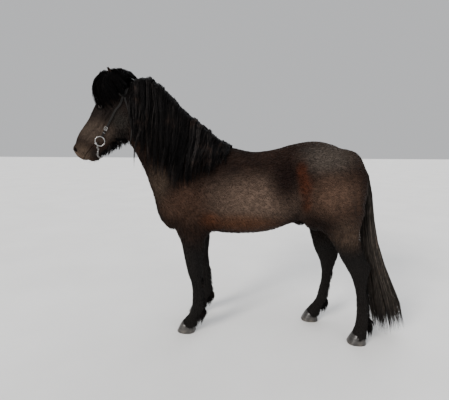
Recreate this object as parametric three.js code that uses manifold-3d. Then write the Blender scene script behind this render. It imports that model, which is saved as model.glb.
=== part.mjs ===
// A standing icelandic horse in a bridle, life size, in millimetres, with +Z up.
//
// While it is built the muzzle points to -X, the left side of the horse is -Y and the floor is z = 0.
// One field describes the flesh, out to the tips of the short coat: it is negative inside.
// The flesh is turned into meshes node by node, and thin cuts part the nodes.
// Mane, forelock, beard, tail and feathers are tapered locks joined to the node they grow from.

import * as THREE from "three";
import { ConvexGeometry } from "three/addons/geometries/ConvexGeometry.js";
import { mergeVertices } from "three/addons/utils/BufferGeometryUtils.js";
import Module from "manifold-3d";

const wasm = await Module();
wasm.setup();

// Driving dimensions

const GAP = 0.3;                      // between nodes that touch
const STRAP_GAP = 0.5;                // between straps that cross
const HAIR_GAP = 0.9;                 // between hair and what it falls over
const SPECK = 0.02;                   // edges shorter than this are closed up
const NEAR = -1;                      // left side of the horse
const FAR = 1;                        // right side of the horse
const SIDES = [
  { name: "left", side: NEAR },
  { name: "right", side: FAR },
];

const KNEE_HEIGHT = 455;
const HOCK_HEIGHT = 535;
const FETLOCK_HEIGHT = 222;
const HOOF_BEVEL = 4;

const EYE = { along: 138, across: 82, side: 89, radius: 19 };
const EAR = { along: -35, across: 52, side: 50, length: 158, width: 33, depth: 22, wall: 4.5 };
const NOSTRIL_ACROSS = 104;
const MOUTH_CORNER = { along: 396, across: 8 };

const STRAP = { halfWidth: 8, thickness: 3.2, lift: 4 };
const RING = { along: 359, across: -23, side: 74, radius: 33.5, wire: 3.5 };
const MOUTHPIECE_RADIUS = 7;

// The head turns to the left: the flesh bends about a vertical axis just behind the throat.
const BEND = { start: -870, length: 90, angle: THREE.MathUtils.degToRad(13) };

// Frames in the plane of symmetry: an origin, a direction along and a direction across, as [x, z]

const TRUNK_FRAME = { origin: [0, 0], along: [1, 0], across: [0, 1] };
const LEG_FRAME = { origin: [0, 0], along: [0, 1], across: [1, 0] };
const NECK_FRAME = { origin: [-560, 1090], along: [-0.66, 0.751], across: [0.751, 0.66] };
const HEAD_FRAME = { origin: [-1062, 1722], along: [-0.536, -0.845], across: [-0.845, 0.536] };

// Section tables: [place along, far edge, near edge, half width, taper toward the far edge, sideways]

const TRUNK = [
  [-800, 1120, 850, 110, 0],
  [-740, 1200, 785, 165, 0],
  [-660, 1262, 762, 202, 0.05],
  [-560, 1302, 752, 224, 0.12],
  [-430, 1338, 742, 248, 0.2],
  [-300, 1345, 736, 272, 0.2],
  [-140, 1334, 742, 288, 0.1],
  [0, 1352, 770, 290, 0.06],
  [120, 1385, 820, 284, 0.12],
  [240, 1406, 870, 264, 0.2],
  [340, 1399, 893, 242, 0.25],
  [450, 1356, 900, 205, 0.25],
  [530, 1284, 940, 160, 0.2],
];

const NECK = [
  [-100, 338, -345, 205, 0.25],
  [0, 328, -352, 196, 0.3],
  [100, 296, -322, 168, 0.35],
  [200, 256, -290, 144, 0.35],
  [320, 224, -238, 121, 0.32],
  [440, 198, -200, 104, 0.28],
  [540, 182, -174, 95, 0.25],
  [640, 164, -130, 88, 0.2],
  [720, 142, -80, 82, 0.15],
  [800, 112, -20, 74, 0.1],
];

const MANE_CORE = [
  [60, 330, 270, 24, 0],
  [200, 292, 220, 28, 0],
  [320, 268, 190, 30, 0],
  [440, 250, 165, 32, 0],
  [540, 238, 150, 33, 0],
  [640, 222, 130, 33, 0],
  [720, 196, 110, 32, 0],
  [800, 150, 80, 28, 0],
];

const HEAD = [
  [-52, 28, -62, 55, 0],
  [0, 82, -92, 82, 0],
  [50, 122, -120, 95, 0],
  [100, 148, -130, 100, 0],
  [150, 160, -122, 98, 0.02],
  [210, 161, -104, 86, 0.1],
  [284, 159, -84, 71, 0.16],
  [357, 165, -72, 60, 0.16],
  [410, 168, -60, 53, 0.14],
  [466, 159, -42, 51, 0.06],
  [505, 138, -34, 52, 0],
  [538, 112, -8, 46, 0],
  [555, 86, 26, 34, 0],
];

const FORELEG = [
  [20, -535, -665, 58, 0, 156],
  [60, -544, -660, 57, 0, 156],
  [95, -530, -640, 50, 0, 156],
  [120, -515, -619, 46, 0, 156],
  [150, -496, -600, 46, 0, 156],
  [190, -484, -586, 46, 0, 156],
  [230, -487, -580, 39, 0, 156],
  [280, -492, -578, 36, 0, 155],
  [340, -494, -580, 38, 0, 155],
  [390, -496, -588, 46, 0, 154],
  [430, -499, -600, 54, 0, 153],
  [470, -501, -612, 55, 0, 153],
  [520, -501, -624, 53, 0, 152],
  [580, -492, -637, 57, 0, 151],
  [640, -482, -648, 64, 0, 149],
  [700, -474, -665, 70, 0, 147],
  [750, -462, -690, 76, 0, 145],
  [800, -447, -718, 80, 0, 143],
  [860, -445, -735, 78, 0, 138],
];

const HINDLEG_NEAR = [
  [20, 676, 562, 58, 0, 148],
  [60, 672, 568, 56, 0, 148],
  [95, 676, 578, 50, 0, 148],
  [120, 681, 584, 46, 0, 148],
  [150, 685, 589, 45, 0, 148],
  [190, 682, 592, 45, 0, 148],
  [230, 670, 592, 39, 0, 148],
  [280, 664, 589, 36, 0, 148],
  [340, 657, 582, 36, 0, 148],
  [400, 650, 571, 39, 0, 148],
  [450, 650, 554, 46, 0, 148],
  [490, 656, 537, 49, 0, 148],
  [530, 663, 515, 48, 0, 148],
  [565, 662, 494, 47, 0, 148],
  [600, 642, 472, 48, 0, 149],
  [650, 618, 444, 56, 0, 151],
  [700, 600, 415, 66, 0, 154],
  [760, 588, 372, 79, 0, 158],
  [820, 582, 318, 90, 0, 161],
  [880, 584, 262, 98, 0, 160],
  [940, 586, 225, 100, 0, 155],
];

const HINDLEG_FAR = [
  [20, 382, 262, 58, 0, 146],
  [60, 388, 268, 56, 0, 146],
  [95, 395, 292, 50, 0, 146],
  [120, 408, 309, 46, 0, 146],
  [150, 426, 334, 45, 0, 146],
  [190, 436, 352, 45, 0, 146],
  [230, 441, 363, 39, 0, 146],
  [280, 449, 373, 36, 0, 146],
  [340, 459, 383, 36, 0, 146],
  [400, 466, 383, 39, 0, 146],
  [450, 478, 376, 46, 0, 146],
  [490, 489, 366, 49, 0, 146],
  [530, 500, 350, 48, 0, 146],
  [565, 501, 333, 47, 0, 146],
  [600, 496, 318, 48, 0, 147],
  [650, 498, 302, 56, 0, 149],
  [700, 510, 286, 66, 0, 152],
  [760, 528, 268, 79, 0, 156],
  [820, 548, 252, 90, 0, 160],
  [880, 565, 238, 98, 0, 160],
  [940, 575, 222, 100, 0, 155],
];

// Muscles and bony points, the same on both sides: centre, radii, tilt in degrees about Y, blend

const BODY_FORMS = [
  { at: [-560, 132, 1110], size: [150, 96, 225], tilt: 18, blend: 70 },    // shoulder
  { at: [-718, 120, 985], size: [84, 84, 100], tilt: 0, blend: 70 },       // point of the shoulder
  { at: [-732, 66, 876], size: [80, 70, 102], tilt: 0, blend: 60 },        // breast
  { at: [-515, 158, 950], size: [112, 66, 115], tilt: -20, blend: 60 },    // triceps
  { at: [-462, 150, 838], size: [42, 46, 52], tilt: 0, blend: 40 },        // elbow
  { at: [330, 126, 1160], size: [222, 126, 188], tilt: 12, blend: 90 },    // croup
  { at: [400, 150, 1055], size: [182, 116, 225], tilt: 0, blend: 80 },     // thigh
  { at: [512, 108, 1095], size: [86, 98, 215], tilt: 0, blend: 70 },       // buttock
  { at: [292, 158, 915], size: [78, 82, 105], tilt: 20, blend: 60 },       // stifle
  { at: [185, 205, 1285], size: [60, 40, 52], tilt: 0, blend: 60 },        // point of the hip
];

const SHEATH = { at: [185, 0, 848], size: [62, 36, 44], tilt: 0, blend: 30 };

// Forms of the head: place along and across the head, sideways, radii along, sideways, across, blend

const HEAD_FORMS = [
  { place: [178, -64, 58], size: [112, 30, 108], blend: 26 },      // cheek
  { place: [122, 96, 76], size: [44, 26, 26], blend: 26 },         // brow
  { place: [205, 46, 66], size: [95, 17, 17], blend: 26, lean: -8 },  // crest of the face
  { place: [503, 100, 34], size: [40, 26, 36], blend: 18 },        // nostril
  { place: [536, 74, 0], size: [31, 49, 38], blend: 18 },          // upper lip
  { place: [506, -2, 0], size: [44, 38, 30], blend: 16 },          // lower lip and chin
];

// Outline of the hair, as [x, z]

const MANE_TOP = [
  [-1044, 1823], [-978, 1858], [-905, 1855], [-832, 1809], [-759, 1744], [-686, 1666],
  [-613, 1595], [-539, 1541], [-466, 1480], [-393, 1423], [-320, 1380],
];
const MANE_TIP = [
  [-1010, 1430], [-955, 1330], [-900, 1235], [-840, 1160], [-773, 1103], [-700, 1068], [-641, 1056],
  [-575, 1076], [-517, 1106], [-460, 1130], [-409, 1162], [-359, 1236], [-313, 1290],
];
const TAIL_REAR = [
  [19, 975], [60, 975], [100, 985], [157, 976], [210, 958], [269, 926], [380, 856], [477, 822],
  [638, 756], [733, 723], [820, 704], [964, 688], [1105, 665], [1160, 642], [1215, 610],
];
const TAIL_FRONT = [
  [19, 730], [100, 712], [230, 692], [400, 670], [560, 650], [700, 625], [800, 614], [900, 612],
  [1000, 614], [1100, 612], [1215, 590],
];

// Small maths

function seeded(seed) {
  let state = seed;
  return () => {
    state = (state * 1664525 + 1013904223) % 4294967296;
    return state / 4294967296;
  };
}

// A smooth curve through the rows of a table, for every column at once
function smoothTable(rows) {
  const width = rows[0].length;
  const slopes = rows.map((row, i) => {
    const before = rows[Math.max(i - 1, 0)];
    const after = rows[Math.min(i + 1, rows.length - 1)];
    return row.map((_, c) => (after[c] - before[c]) / (after[0] - before[0]));
  });
  return (place) => {
    const last = rows.length - 1;
    const at = Math.min(Math.max(place, rows[0][0]), rows[last][0]);
    let i = 0;
    while (i < last - 1 && at > rows[i + 1][0]) i += 1;
    const span = rows[i + 1][0] - rows[i][0];
    const u = (at - rows[i][0]) / span;
    const value = new Array(width);
    for (let c = 0; c < width; c += 1) {
      const a = rows[i][c];
      const b = rows[i + 1][c];
      const rise = a * (1 + 2 * u) * (1 - u) ** 2 + b * u * u * (3 - 2 * u);
      const swing = slopes[i][c] * u * (1 - u) ** 2 + slopes[i + 1][c] * u * u * (u - 1);
      value[c] = rise + span * swing;
    }
    return value;
  };
}

function smoothMin(a, b, blend) {
  const h = Math.max(blend - Math.abs(a - b), 0) / blend;
  return Math.min(a, b) - (h * h * blend) / 4;
}

function inFrame(frame, along, across, side) {
  return new THREE.Vector3(
    frame.origin[0] + frame.along[0] * along + frame.across[0] * across,
    side,
    frame.origin[1] + frame.along[1] * along + frame.across[1] * across,
  );
}

const onHead = (along, across, side) => inFrame(HEAD_FRAME, along, across, side);

// The field of the flesh

// A body swept along a frame, its section an ellipse or squarer where power is over 2
function sweep(frame, rows, { power = 2, endRadius = 60, mirror = 1, shift = () => 0 } = {}) {
  const section = smoothTable(rows.map((row) => [...row, 0].slice(0, 6)));
  const first = rows[0][0];
  const last = rows[rows.length - 1][0];
  return (x, y, z) => {
    const dx = x - frame.origin[0] - shift(z);
    const dz = z - frame.origin[1];
    const along = dx * frame.along[0] + dz * frame.along[1];
    const across = dx * frame.across[0] + dz * frame.across[1];
    const [, high, low, halfWidth, taper, side] = section(along);
    const half = (high - low) / 2;
    const v = (across - (high + low) / 2) / half;
    const width = halfWidth * (1 - taper * Math.max(-1, Math.min(1, v)));
    const u = (y - mirror * side) / width;
    const ring = (Math.abs(u) ** power + Math.abs(v) ** power) ** (1 / power);
    const past = Math.max(first - along, along - last, 0) / endRadius;
    return (Math.hypot(ring, past) - 1) * Math.min(half, halfWidth);
  };
}

function ellipsoid({ at, size, tilt }) {
  const cos = Math.cos(THREE.MathUtils.degToRad(tilt));
  const sin = Math.sin(THREE.MathUtils.degToRad(tilt));
  const least = Math.min(...size);
  return (x, y, z) => {
    const dx = x - at[0];
    const dz = z - at[2];
    const u = (dx * cos - dz * sin) / size[0];
    const v = (y - at[1]) / size[1];
    const w = (dx * sin + dz * cos) / size[2];
    return (Math.sqrt(u * u + v * v + w * w) - 1) * least;
  };
}

function headForm({ place, size, lean = 0 }) {
  const centre = onHead(...place);
  const along = new THREE.Vector2(...HEAD_FRAME.along);
  const tilt = THREE.MathUtils.radToDeg(Math.atan2(-along.y, along.x)) + lean;
  return ellipsoid({ at: centre.toArray(), size, tilt });
}

const farForelegShift = (z) => 15 - 40 * Math.min(z, 800) / 800;

const trunk = sweep(TRUNK_FRAME, TRUNK, { power: 2.1, endRadius: 60 });
const neck = sweep(NECK_FRAME, NECK, { endRadius: 45 });
const maneCore = sweep(NECK_FRAME, MANE_CORE, { endRadius: 30 });
const headSweep = sweep(HEAD_FRAME, HEAD, { power: 2.35, endRadius: 14 });
const legs = [
  sweep(LEG_FRAME, FORELEG, { mirror: NEAR }),
  sweep(LEG_FRAME, FORELEG, { mirror: FAR, shift: farForelegShift }),
  sweep(LEG_FRAME, HINDLEG_NEAR, { mirror: NEAR }),
  sweep(LEG_FRAME, HINDLEG_FAR, { mirror: FAR }),
];
const bodyForms = BODY_FORMS.map((form) => ({ shape: ellipsoid(form), blend: form.blend }));
const headForms = HEAD_FORMS.map((form) => ({ shape: headForm(form), blend: form.blend }));
const sheath = ellipsoid(SHEATH);

function headField(x, y, z) {
  const away = Math.abs(y);
  return headForms.reduce(
    (f, form) => smoothMin(f, form.shape(x, away, z), form.blend),
    headSweep(x, y, z),
  );
}

function bodyField(x, y, z) {
  const away = Math.abs(y);
  let f = smoothMin(trunk(x, y, z), neck(x, y, z), 90);
  for (const form of bodyForms) f = smoothMin(f, form.shape(x, away, z), form.blend);
  for (const leg of legs) f = smoothMin(f, leg(x, y, z), 45);
  return smoothMin(f, sheath(x, y, z), SHEATH.blend);
}

function flesh(x, y, z) {
  return smoothMin(bodyField(x, y, z), headField(x, y, z), 26);
}

function slopeOf(field, p) {
  const h = 1.5;
  return new THREE.Vector3(
    field(p.x + h, p.y, p.z) - field(p.x - h, p.y, p.z),
    field(p.x, p.y + h, p.z) - field(p.x, p.y - h, p.z),
    field(p.x, p.y, p.z + h) - field(p.x, p.y, p.z - h),
  ).divideScalar(2 * h);
}

// Moves a point to the given height over the skin
function onSkin(point, height, field = flesh) {
  const p = point.clone();
  for (let i = 0; i < 12; i += 1) {
    const slope = slopeOf(field, p);
    const steep = slope.length();
    p.addScaledVector(slope, -field(p.x, p.y, p.z) / (steep * steep));
  }
  return p.addScaledVector(slopeOf(field, p).normalize(), height);
}

// Half width of the body at a point of its profile, from outside
function skinSide(x, z, side, field) {
  let outer = 420;
  while (outer > 0 && field(x, side * outer, z) > 0) outer -= 12;
  if (outer <= 0) return 0;
  let inner = outer;
  outer += 12;
  for (let i = 0; i < 8; i += 1) {
    const middle = (inner + outer) / 2;
    if (field(x, side * middle, z) > 0) outer = middle;
    else inner = middle;
  }
  return inner;
}

// Meshes from fields, and solids

// One vertex for each cell that the surface passes through, settled onto the surface
function polygonise(field, low, high, step) {
  const count = low.map((from, i) => Math.ceil((high[i] - from) / step[i]) + 1);
  const [nx, ny, nz] = count;
  const index = (i, j, k) => i + nx * (j + ny * k);
  const value = new Float64Array(nx * ny * nz);
  for (let k = 0; k < nz; k += 1) {
    for (let j = 0; j < ny; j += 1) {
      for (let i = 0; i < nx; i += 1) {
        const rim = i * j * k === 0 || i === nx - 1 || j === ny - 1 || k === nz - 1;
        const f = field(low[0] + i * step[0], low[1] + j * step[1], low[2] + k * step[2]);
        value[index(i, j, k)] = rim ? Math.max(f, 1) : f;
      }
    }
  }
  const cellVertex = new Int32Array(nx * ny * nz).fill(-1);
  const vertices = [];
  const corners = [0, 1].flatMap((c) => [0, 1].flatMap((b) => [0, 1].map((a) => [a, b, c])));
  const edges = [];
  corners.forEach((a, m) => corners.forEach((b, n) => {
    const apart = Math.abs(a[0] - b[0]) + Math.abs(a[1] - b[1]) + Math.abs(a[2] - b[2]);
    if (n > m && apart === 1) edges.push([a, b]);
  }));
  const reach = Math.min(...step) * 0.6;
  for (let k = 0; k < nz - 1; k += 1) {
    for (let j = 0; j < ny - 1; j += 1) {
      for (let i = 0; i < nx - 1; i += 1) {
        const sum = new THREE.Vector3();
        let crossings = 0;
        for (const [a, b] of edges) {
          const va = value[index(i + a[0], j + a[1], k + a[2])];
          const vb = value[index(i + b[0], j + b[1], k + b[2])];
          if (va < 0 === vb < 0) continue;
          const t = va / (va - vb);
          sum.x += a[0] + (b[0] - a[0]) * t;
          sum.y += a[1] + (b[1] - a[1]) * t;
          sum.z += a[2] + (b[2] - a[2]) * t;
          crossings += 1;
        }
        if (crossings === 0) continue;
        const p = sum.divideScalar(crossings).add(new THREE.Vector3(i, j, k));
        p.multiply(new THREE.Vector3(...step)).add(new THREE.Vector3(...low));
        const slope = slopeOf(field, p);
        const move = slope.multiplyScalar(-field(p.x, p.y, p.z) / slope.lengthSq());
        if (move.length() < reach) p.add(move);
        cellVertex[index(i, j, k)] = vertices.length;
        vertices.push(p);
      }
    }
  }
  const triangles = [];
  const quad = (a, b, c, d) => {
    const straight = vertices[a].distanceTo(vertices[c]) < vertices[b].distanceTo(vertices[d]);
    if (straight) triangles.push([a, b, c], [a, c, d]);
    else triangles.push([a, b, d], [b, c, d]);
  };
  for (let k = 0; k < nz - 1; k += 1) {
    for (let j = 0; j < ny - 1; j += 1) {
      for (let i = 0; i < nx - 1; i += 1) {
        const here = value[index(i, j, k)] < 0;
        const cell = (a, b, c) => cellVertex[index(i - a, j - b, k - c)];
        const rings = [
          [value[index(i + 1, j, k)], [cell(0, 1, 1), cell(0, 0, 1), cell(0, 0, 0), cell(0, 1, 0)]],
          [value[index(i, j + 1, k)], [cell(1, 0, 1), cell(1, 0, 0), cell(0, 0, 0), cell(0, 0, 1)]],
          [value[index(i, j, k + 1)], [cell(1, 1, 0), cell(0, 1, 0), cell(0, 0, 0), cell(1, 0, 0)]],
        ];
        for (const [next, ring] of rings) {
          if (here === next < 0) continue;
          quad(...(here ? ring : ring.reverse()));
        }
      }
    }
  }
  return solidOf(vertices, triangles);
}

function solidOf(vertices, triangles) {
  const vertProperties = new Float32Array(vertices.flatMap((v) => [v.x, v.y, v.z]));
  const triVerts = new Uint32Array(triangles.flat());
  return new wasm.Manifold(new wasm.Mesh({ numProp: 3, vertProperties, triVerts }));
}

function solidOfGeometry(geometry) {
  const plain = geometry.clone();
  plain.deleteAttribute("normal");
  plain.deleteAttribute("uv");
  const merged = mergeVertices(plain, 1e-4);
  return new wasm.Manifold(new wasm.Mesh({
    numProp: 3,
    vertProperties: new Float32Array(merged.attributes.position.array),
    triVerts: new Uint32Array(merged.index.array),
  }));
}

function readSolid(solid) {
  const { numProp, vertProperties, triVerts } = solid.getMesh();
  const vertices = [];
  for (let i = 0; i < vertProperties.length; i += numProp) {
    vertices.push(new THREE.Vector3(vertProperties[i], vertProperties[i + 1], vertProperties[i + 2]));
  }
  return { vertices, triVerts };
}

// The same closed surface moved outward, so that what is cut with it stays clear of the solid
function grown(solid, distance = GAP) {
  const { vertices, triVerts } = readSolid(solid);
  const normals = vertices.map(() => new THREE.Vector3());
  const triangles = [];
  for (let i = 0; i < triVerts.length; i += 3) {
    const [a, b, c] = [triVerts[i], triVerts[i + 1], triVerts[i + 2]];
    const ab = vertices[b].clone().sub(vertices[a]);
    const normal = ab.cross(vertices[c].clone().sub(vertices[a]));
    for (const corner of [a, b, c]) normals[corner].add(normal);
    triangles.push([a, b, c]);
  }
  const moved = vertices.map((v, i) => v.clone().addScaledVector(normals[i].normalize(), distance));
  return solidOf(moved, triangles);
}

function largest(solid) {
  return solid.decompose().reduce((most, piece) => (piece.volume() > most.volume() ? piece : most));
}

const clearOf = (solid, ...others) => largest(
  others.reduce((rest, other) => rest.subtract(grown(other)), solid),
);

const joined = (solids) => solids.reduce((sum, solid) => sum.add(solid));

// A solid through rings of points; a ring of one point is a tip
function loft(rings) {
  const vertices = rings.flat();
  const starts = [];
  rings.reduce((sum, ring) => {
    starts.push(sum);
    return sum + ring.length;
  }, 0);
  const triangles = [];
  for (let r = 0; r < rings.length - 1; r += 1) {
    const around = Math.max(rings[r].length, rings[r + 1].length);
    for (let i = 0; i < around; i += 1) {
      const j = (i + 1) % around;
      const [a, b] = rings[r].length === 1 ? [starts[r], starts[r]] : [starts[r] + i, starts[r] + j];
      const s = starts[r + 1];
      const [c, d] = rings[r + 1].length === 1 ? [s, s] : [s + i, s + j];
      if (a !== b) triangles.push([a, b, d]);
      if (c !== d) triangles.push([a, d, c]);
    }
  }
  const last = rings.length - 1;
  for (let i = 1; i < rings[0].length - 1; i += 1) triangles.push([0, i + 1, i]);
  for (let i = 1; i < rings[last].length - 1; i += 1) {
    triangles.push([starts[last], starts[last] + i, starts[last] + i + 1]);
  }
  const volume = triangles.reduce(
    (sum, [a, b, c]) => sum + vertices[a].dot(vertices[b].clone().cross(vertices[c])),
    0,
  );
  return solidOf(vertices, volume > 0 ? triangles : triangles.map(([a, b, c]) => [a, c, b]));
}

// Everything on one side of a plane, as a box that is far larger than the horse
function halfSpace(point, outward, offset = 0) {
  const size = 6000;
  const direction = outward.clone().normalize();
  const geometry = new THREE.BoxGeometry(size, size, size);
  geometry.translate(0, 0, -size / 2);
  const turn = new THREE.Quaternion().setFromUnitVectors(new THREE.Vector3(0, 0, 1), direction);
  geometry.applyQuaternion(turn);
  const at = point.clone().addScaledVector(direction, offset);
  geometry.translate(at.x, at.y, at.z);
  return solidOfGeometry(geometry);
}

// Flat strips along a path: straps with square edges, and locks that taper to a tip

function frames(spine, faceTo) {
  return spine.map((point, i) => {
    const before = spine[Math.max(i - 1, 0)];
    const after = spine[Math.min(i + 1, spine.length - 1)];
    const along = after.clone().sub(before).normalize();
    const face = faceTo(point, i).clone().addScaledVector(along, -along.dot(faceTo(point, i)));
    face.normalize();
    return { point, face, edge: new THREE.Vector3().crossVectors(along, face) };
  });
}

function strip(spine, faceTo, halfWidth, thickness) {
  return loft(frames(spine, faceTo).map(({ point, face, edge }) => [
    [-1, -1], [1, -1], [1, 1], [-1, 1],
  ].map(([a, b]) => point.clone()
    .addScaledVector(edge, a * halfWidth)
    .addScaledVector(face, (b * thickness) / 2))));
}

// Width over the length of a lock, from 0 at the root to 1 at the tip
const evenLock = (u) => Math.min(1, 0.6 + 2 * u) * (1 - 0.7 * u ** 2.4);
const spreadingLock = (u) => (0.34 + 0.66 * Math.min(1, u / 0.55)) * (1 - 0.6 * Math.max(0, u - 0.6) / 0.4);

// A flat lock with a low ridge on its outer face, joined from one convex piece per stretch
function lock(spine, faceTo, { halfWidth, thickness, widthAt = evenLock, edgeTo }) {
  const last = spine.length - 1;
  const sections = frames(spine, faceTo).map(({ point, face, edge: across }, i) => {
    if (i === last) return [point];
    const edge = edgeTo ? edgeTo(i / last) : across;
    const wide = halfWidth * widthAt(i / last);
    const thick = thickness * (1 - 0.5 * (i / last));
    return [
      point.clone().addScaledVector(edge, -wide),
      point.clone().addScaledVector(edge, wide),
      point.clone().addScaledVector(face, thick),
    ];
  });
  return joined(sections.slice(1).map((section, i) => (
    solidOfGeometry(new ConvexGeometry([...sections[i], ...section]))
  )));
}

// Cuts between the nodes of flesh

const FORWARD = new THREE.Vector3(-1, 0, 0);
const BACKWARD = new THREE.Vector3(1, 0, 0);
const UP = new THREE.Vector3(0, 0, 1);
const DOWN = new THREE.Vector3(0, 0, -1);

const NECK_CUT = { point: new THREE.Vector3(-600, 0, 1120), up: new THREE.Vector3(-0.652, 0, 0.758) };
const HEAD_CUT = new THREE.Vector3(-1003, 0, 1500);
const MUZZLE_CUT = 300;
const FORE_REGION = { from: -800, to: -422, floorAt: 738, rise: 0.5 };
const HIND_REGION = { from: 236, to: 720, floorAt: 868, rise: 0.3 };

const atHeight = (z) => new THREE.Vector3(0, 0, z);

// What is under a leg's cut: a plane that rises outward, over a stretch of the body's length
function legRegion({ from, to, floorAt, rise }, side, offset) {
  const walls = [
    halfSpace(new THREE.Vector3(0, side * 50, floorAt), new THREE.Vector3(0, -side * rise, 1), offset),
    halfSpace(new THREE.Vector3(from, 0, 0), FORWARD, offset),
    halfSpace(new THREE.Vector3(to, 0, 0), BACKWARD, offset),
    halfSpace(new THREE.Vector3(0, side * 8, 0), new THREE.Vector3(0, -side, 0), offset),
  ];
  return walls.reduce((region, wall) => region.intersect(wall));
}

// Feet: distance of the sole from the middle, toe and heel at the floor
const FEET = [
  { leg: "fore", side: NEAR, region: FORE_REGION, joint: KNEE_HEIGHT, y: 156, toe: -694, heel: -557 },
  { leg: "fore", side: FAR, region: FORE_REGION, joint: KNEE_HEIGHT, y: 156, toe: -679, heel: -542 },
  { leg: "hind", side: NEAR, region: HIND_REGION, joint: HOCK_HEIGHT, y: 148, toe: 539, heel: 670 },
  { leg: "hind", side: FAR, region: HIND_REGION, joint: HOCK_HEIGHT, y: 146, toe: 241, heel: 374 },
];
const CORONET = { front: 78, back: 34, setback: 40, heelIn: 6 };
const SOLE_HALF_WIDTH = { fore: 62, hind: 58 };
const CORONET_HALF_WIDTH = { fore: 52, hind: 50 };

const sideName = (side) => (side === NEAR ? "left" : "right");

function coronetPlane(foot) {
  const front = foot.toe + CORONET.setback;
  const back = foot.heel - CORONET.heelIn;
  const slope = (CORONET.front - CORONET.back) / (back - front);
  const up = new THREE.Vector3(slope, 0, 1).normalize();
  return { point: new THREE.Vector3(front, 0, CORONET.front), up, slope, front, back };
}

function torsoSolid() {
  const body = polygonise(flesh, [-920, -345, 660], [660, 345, 1470], [72, 62, 62]);
  const cuts = FEET.map((foot) => legRegion(foot.region, foot.side, GAP / 2));
  return largest(cuts.reduce((rest, cut) => rest.subtract(cut), body)
    .intersect(halfSpace(NECK_CUT.point, NECK_CUT.up, -GAP / 2)));
}

function neckSolid() {
  const field = (x, y, z) => smoothMin(bodyField(x, y, z), maneCore(x, y, z), 30);
  return largest(polygonise(field, [-1060, -260, 840], [-230, 260, 1900], [58, 50, 58])
    .intersect(halfSpace(NECK_CUT.point, NECK_CUT.up.clone().negate(), -GAP / 2))
    .intersect(halfSpace(HEAD_CUT, FORWARD, -GAP / 2)));
}

// A mesh of one leg over a stretch of height
function legSkin(foot, low, high, step) {
  const range = foot.leg === "fore" ? [-800, -330] : [190, 730];
  const across = [foot.side * 18, foot.side * 330].sort((a, b) => a - b);
  return polygonise(flesh, [range[0], across[0], low], [range[1], across[1], high], step);
}

function upperLeg(foot) {
  return largest(legSkin(foot, foot.joint - 70, 1010, [33, 31, 55])
    .intersect(legRegion(foot.region, foot.side, -GAP / 2))
    .intersect(halfSpace(atHeight(foot.joint), DOWN, -GAP / 2)));
}

function cannon(foot) {
  return largest(legSkin(foot, FETLOCK_HEIGHT - 60, foot.joint + 60, [29, 27, 54])
    .intersect(halfSpace(atHeight(foot.joint), UP, -GAP / 2))
    .intersect(halfSpace(atHeight(FETLOCK_HEIGHT), DOWN, -GAP / 2)));
}

function pastern(foot) {
  const { point, up } = coronetPlane(foot);
  return largest(legSkin(foot, 6, FETLOCK_HEIGHT + 50, [29, 28, 35])
    .intersect(halfSpace(atHeight(FETLOCK_HEIGHT), UP, -GAP / 2))
    .intersect(halfSpace(point, up.clone().negate(), -GAP / 2)));
}

function hoof(foot) {
  const { front, back, point, slope } = coronetPlane(foot);
  const halfSole = SOLE_HALF_WIDTH[foot.leg];
  const around = 16;
  const top = (x) => point.z - (x - point.x) * slope - GAP / 2;
  const ring = (from, to, halfWidth, level) => Array.from({ length: around }, (_, i) => {
    const turn = (i / around) * 2 * Math.PI;
    const squarer = (Math.abs(Math.cos(turn)) ** 2.5 + Math.abs(Math.sin(turn)) ** 2.5) ** -0.4;
    const x = (from + to) / 2 + ((to - from) / 2) * Math.cos(turn) * squarer;
    const y = foot.side * foot.y + halfWidth * Math.sin(turn) * squarer;
    return new THREE.Vector3(x, y, level(x));
  });
  return loft([
    ring(foot.toe + 2, foot.heel - 2, halfSole - 2, () => 0),
    ring(foot.toe, foot.heel, halfSole, () => HOOF_BEVEL),
    ring(front, back, CORONET_HALF_WIDTH[foot.leg], top),
  ]);
}

// Head

const headDirection = (along, across, side) => onHead(along, across, side).sub(onHead(0, 0, 0));

// Basis vectors as the columns of a turn, and a place
function placed(geometry, xAxis, yAxis, zAxis, at) {
  const matrix = new THREE.Matrix4().makeBasis(xAxis, yAxis, zAxis).setPosition(at);
  return solidOfGeometry(geometry.applyMatrix4(matrix));
}

const HEAD_ALONG = headDirection(1, 0, 0);
const HEAD_ACROSS = headDirection(0, 1, 0);
const HEAD_BACK = headDirection(0, -1, 0);
const SIDEWAYS = new THREE.Vector3(0, 1, 0);

function eyeball(side, radius) {
  const geometry = new THREE.SphereGeometry(radius, 10, 6);
  return placed(geometry, HEAD_ALONG, SIDEWAYS, HEAD_BACK, onHead(EYE.along, EYE.across, side * EYE.side));
}

// A ring of lid round the eye, longer than it is high
function lids(side) {
  const geometry = new THREE.TorusGeometry(17, 5.5, 5, 12).scale(1.25, 0.88, 1.1);
  const gaze = headDirection(0.14, 0.1, side).normalize();
  const high = HEAD_ACROSS.clone().addScaledVector(gaze, -gaze.dot(HEAD_ACROSS)).normalize();
  const long = new THREE.Vector3().crossVectors(high, gaze);
  const centre = onHead(EYE.along, EYE.across, side * EYE.side).addScaledVector(gaze, 13);
  return placed(geometry, long, high, gaze, centre);
}

// A slanting opening that narrows as it goes in
function nostril(side) {
  const long = headDirection(0.6, -0.8, 0);
  const short = headDirection(0.8, 0.6, 0);
  const steps = [
    { along: 522, away: 78, long: 30, short: 13 },
    { along: 508, away: 52, long: 24, short: 10 },
    { along: 478, away: 34, long: 9, short: 5 },
  ];
  return loft(steps.map((step) => Array.from({ length: 8 }, (_, i) => {
    const turn = (i / 8) * 2 * Math.PI;
    return onHead(step.along, NOSTRIL_ACROSS, side * step.away)
      .addScaledVector(long, step.long * Math.cos(turn))
      .addScaledVector(short, step.short * Math.sin(turn));
  })));
}

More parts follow.
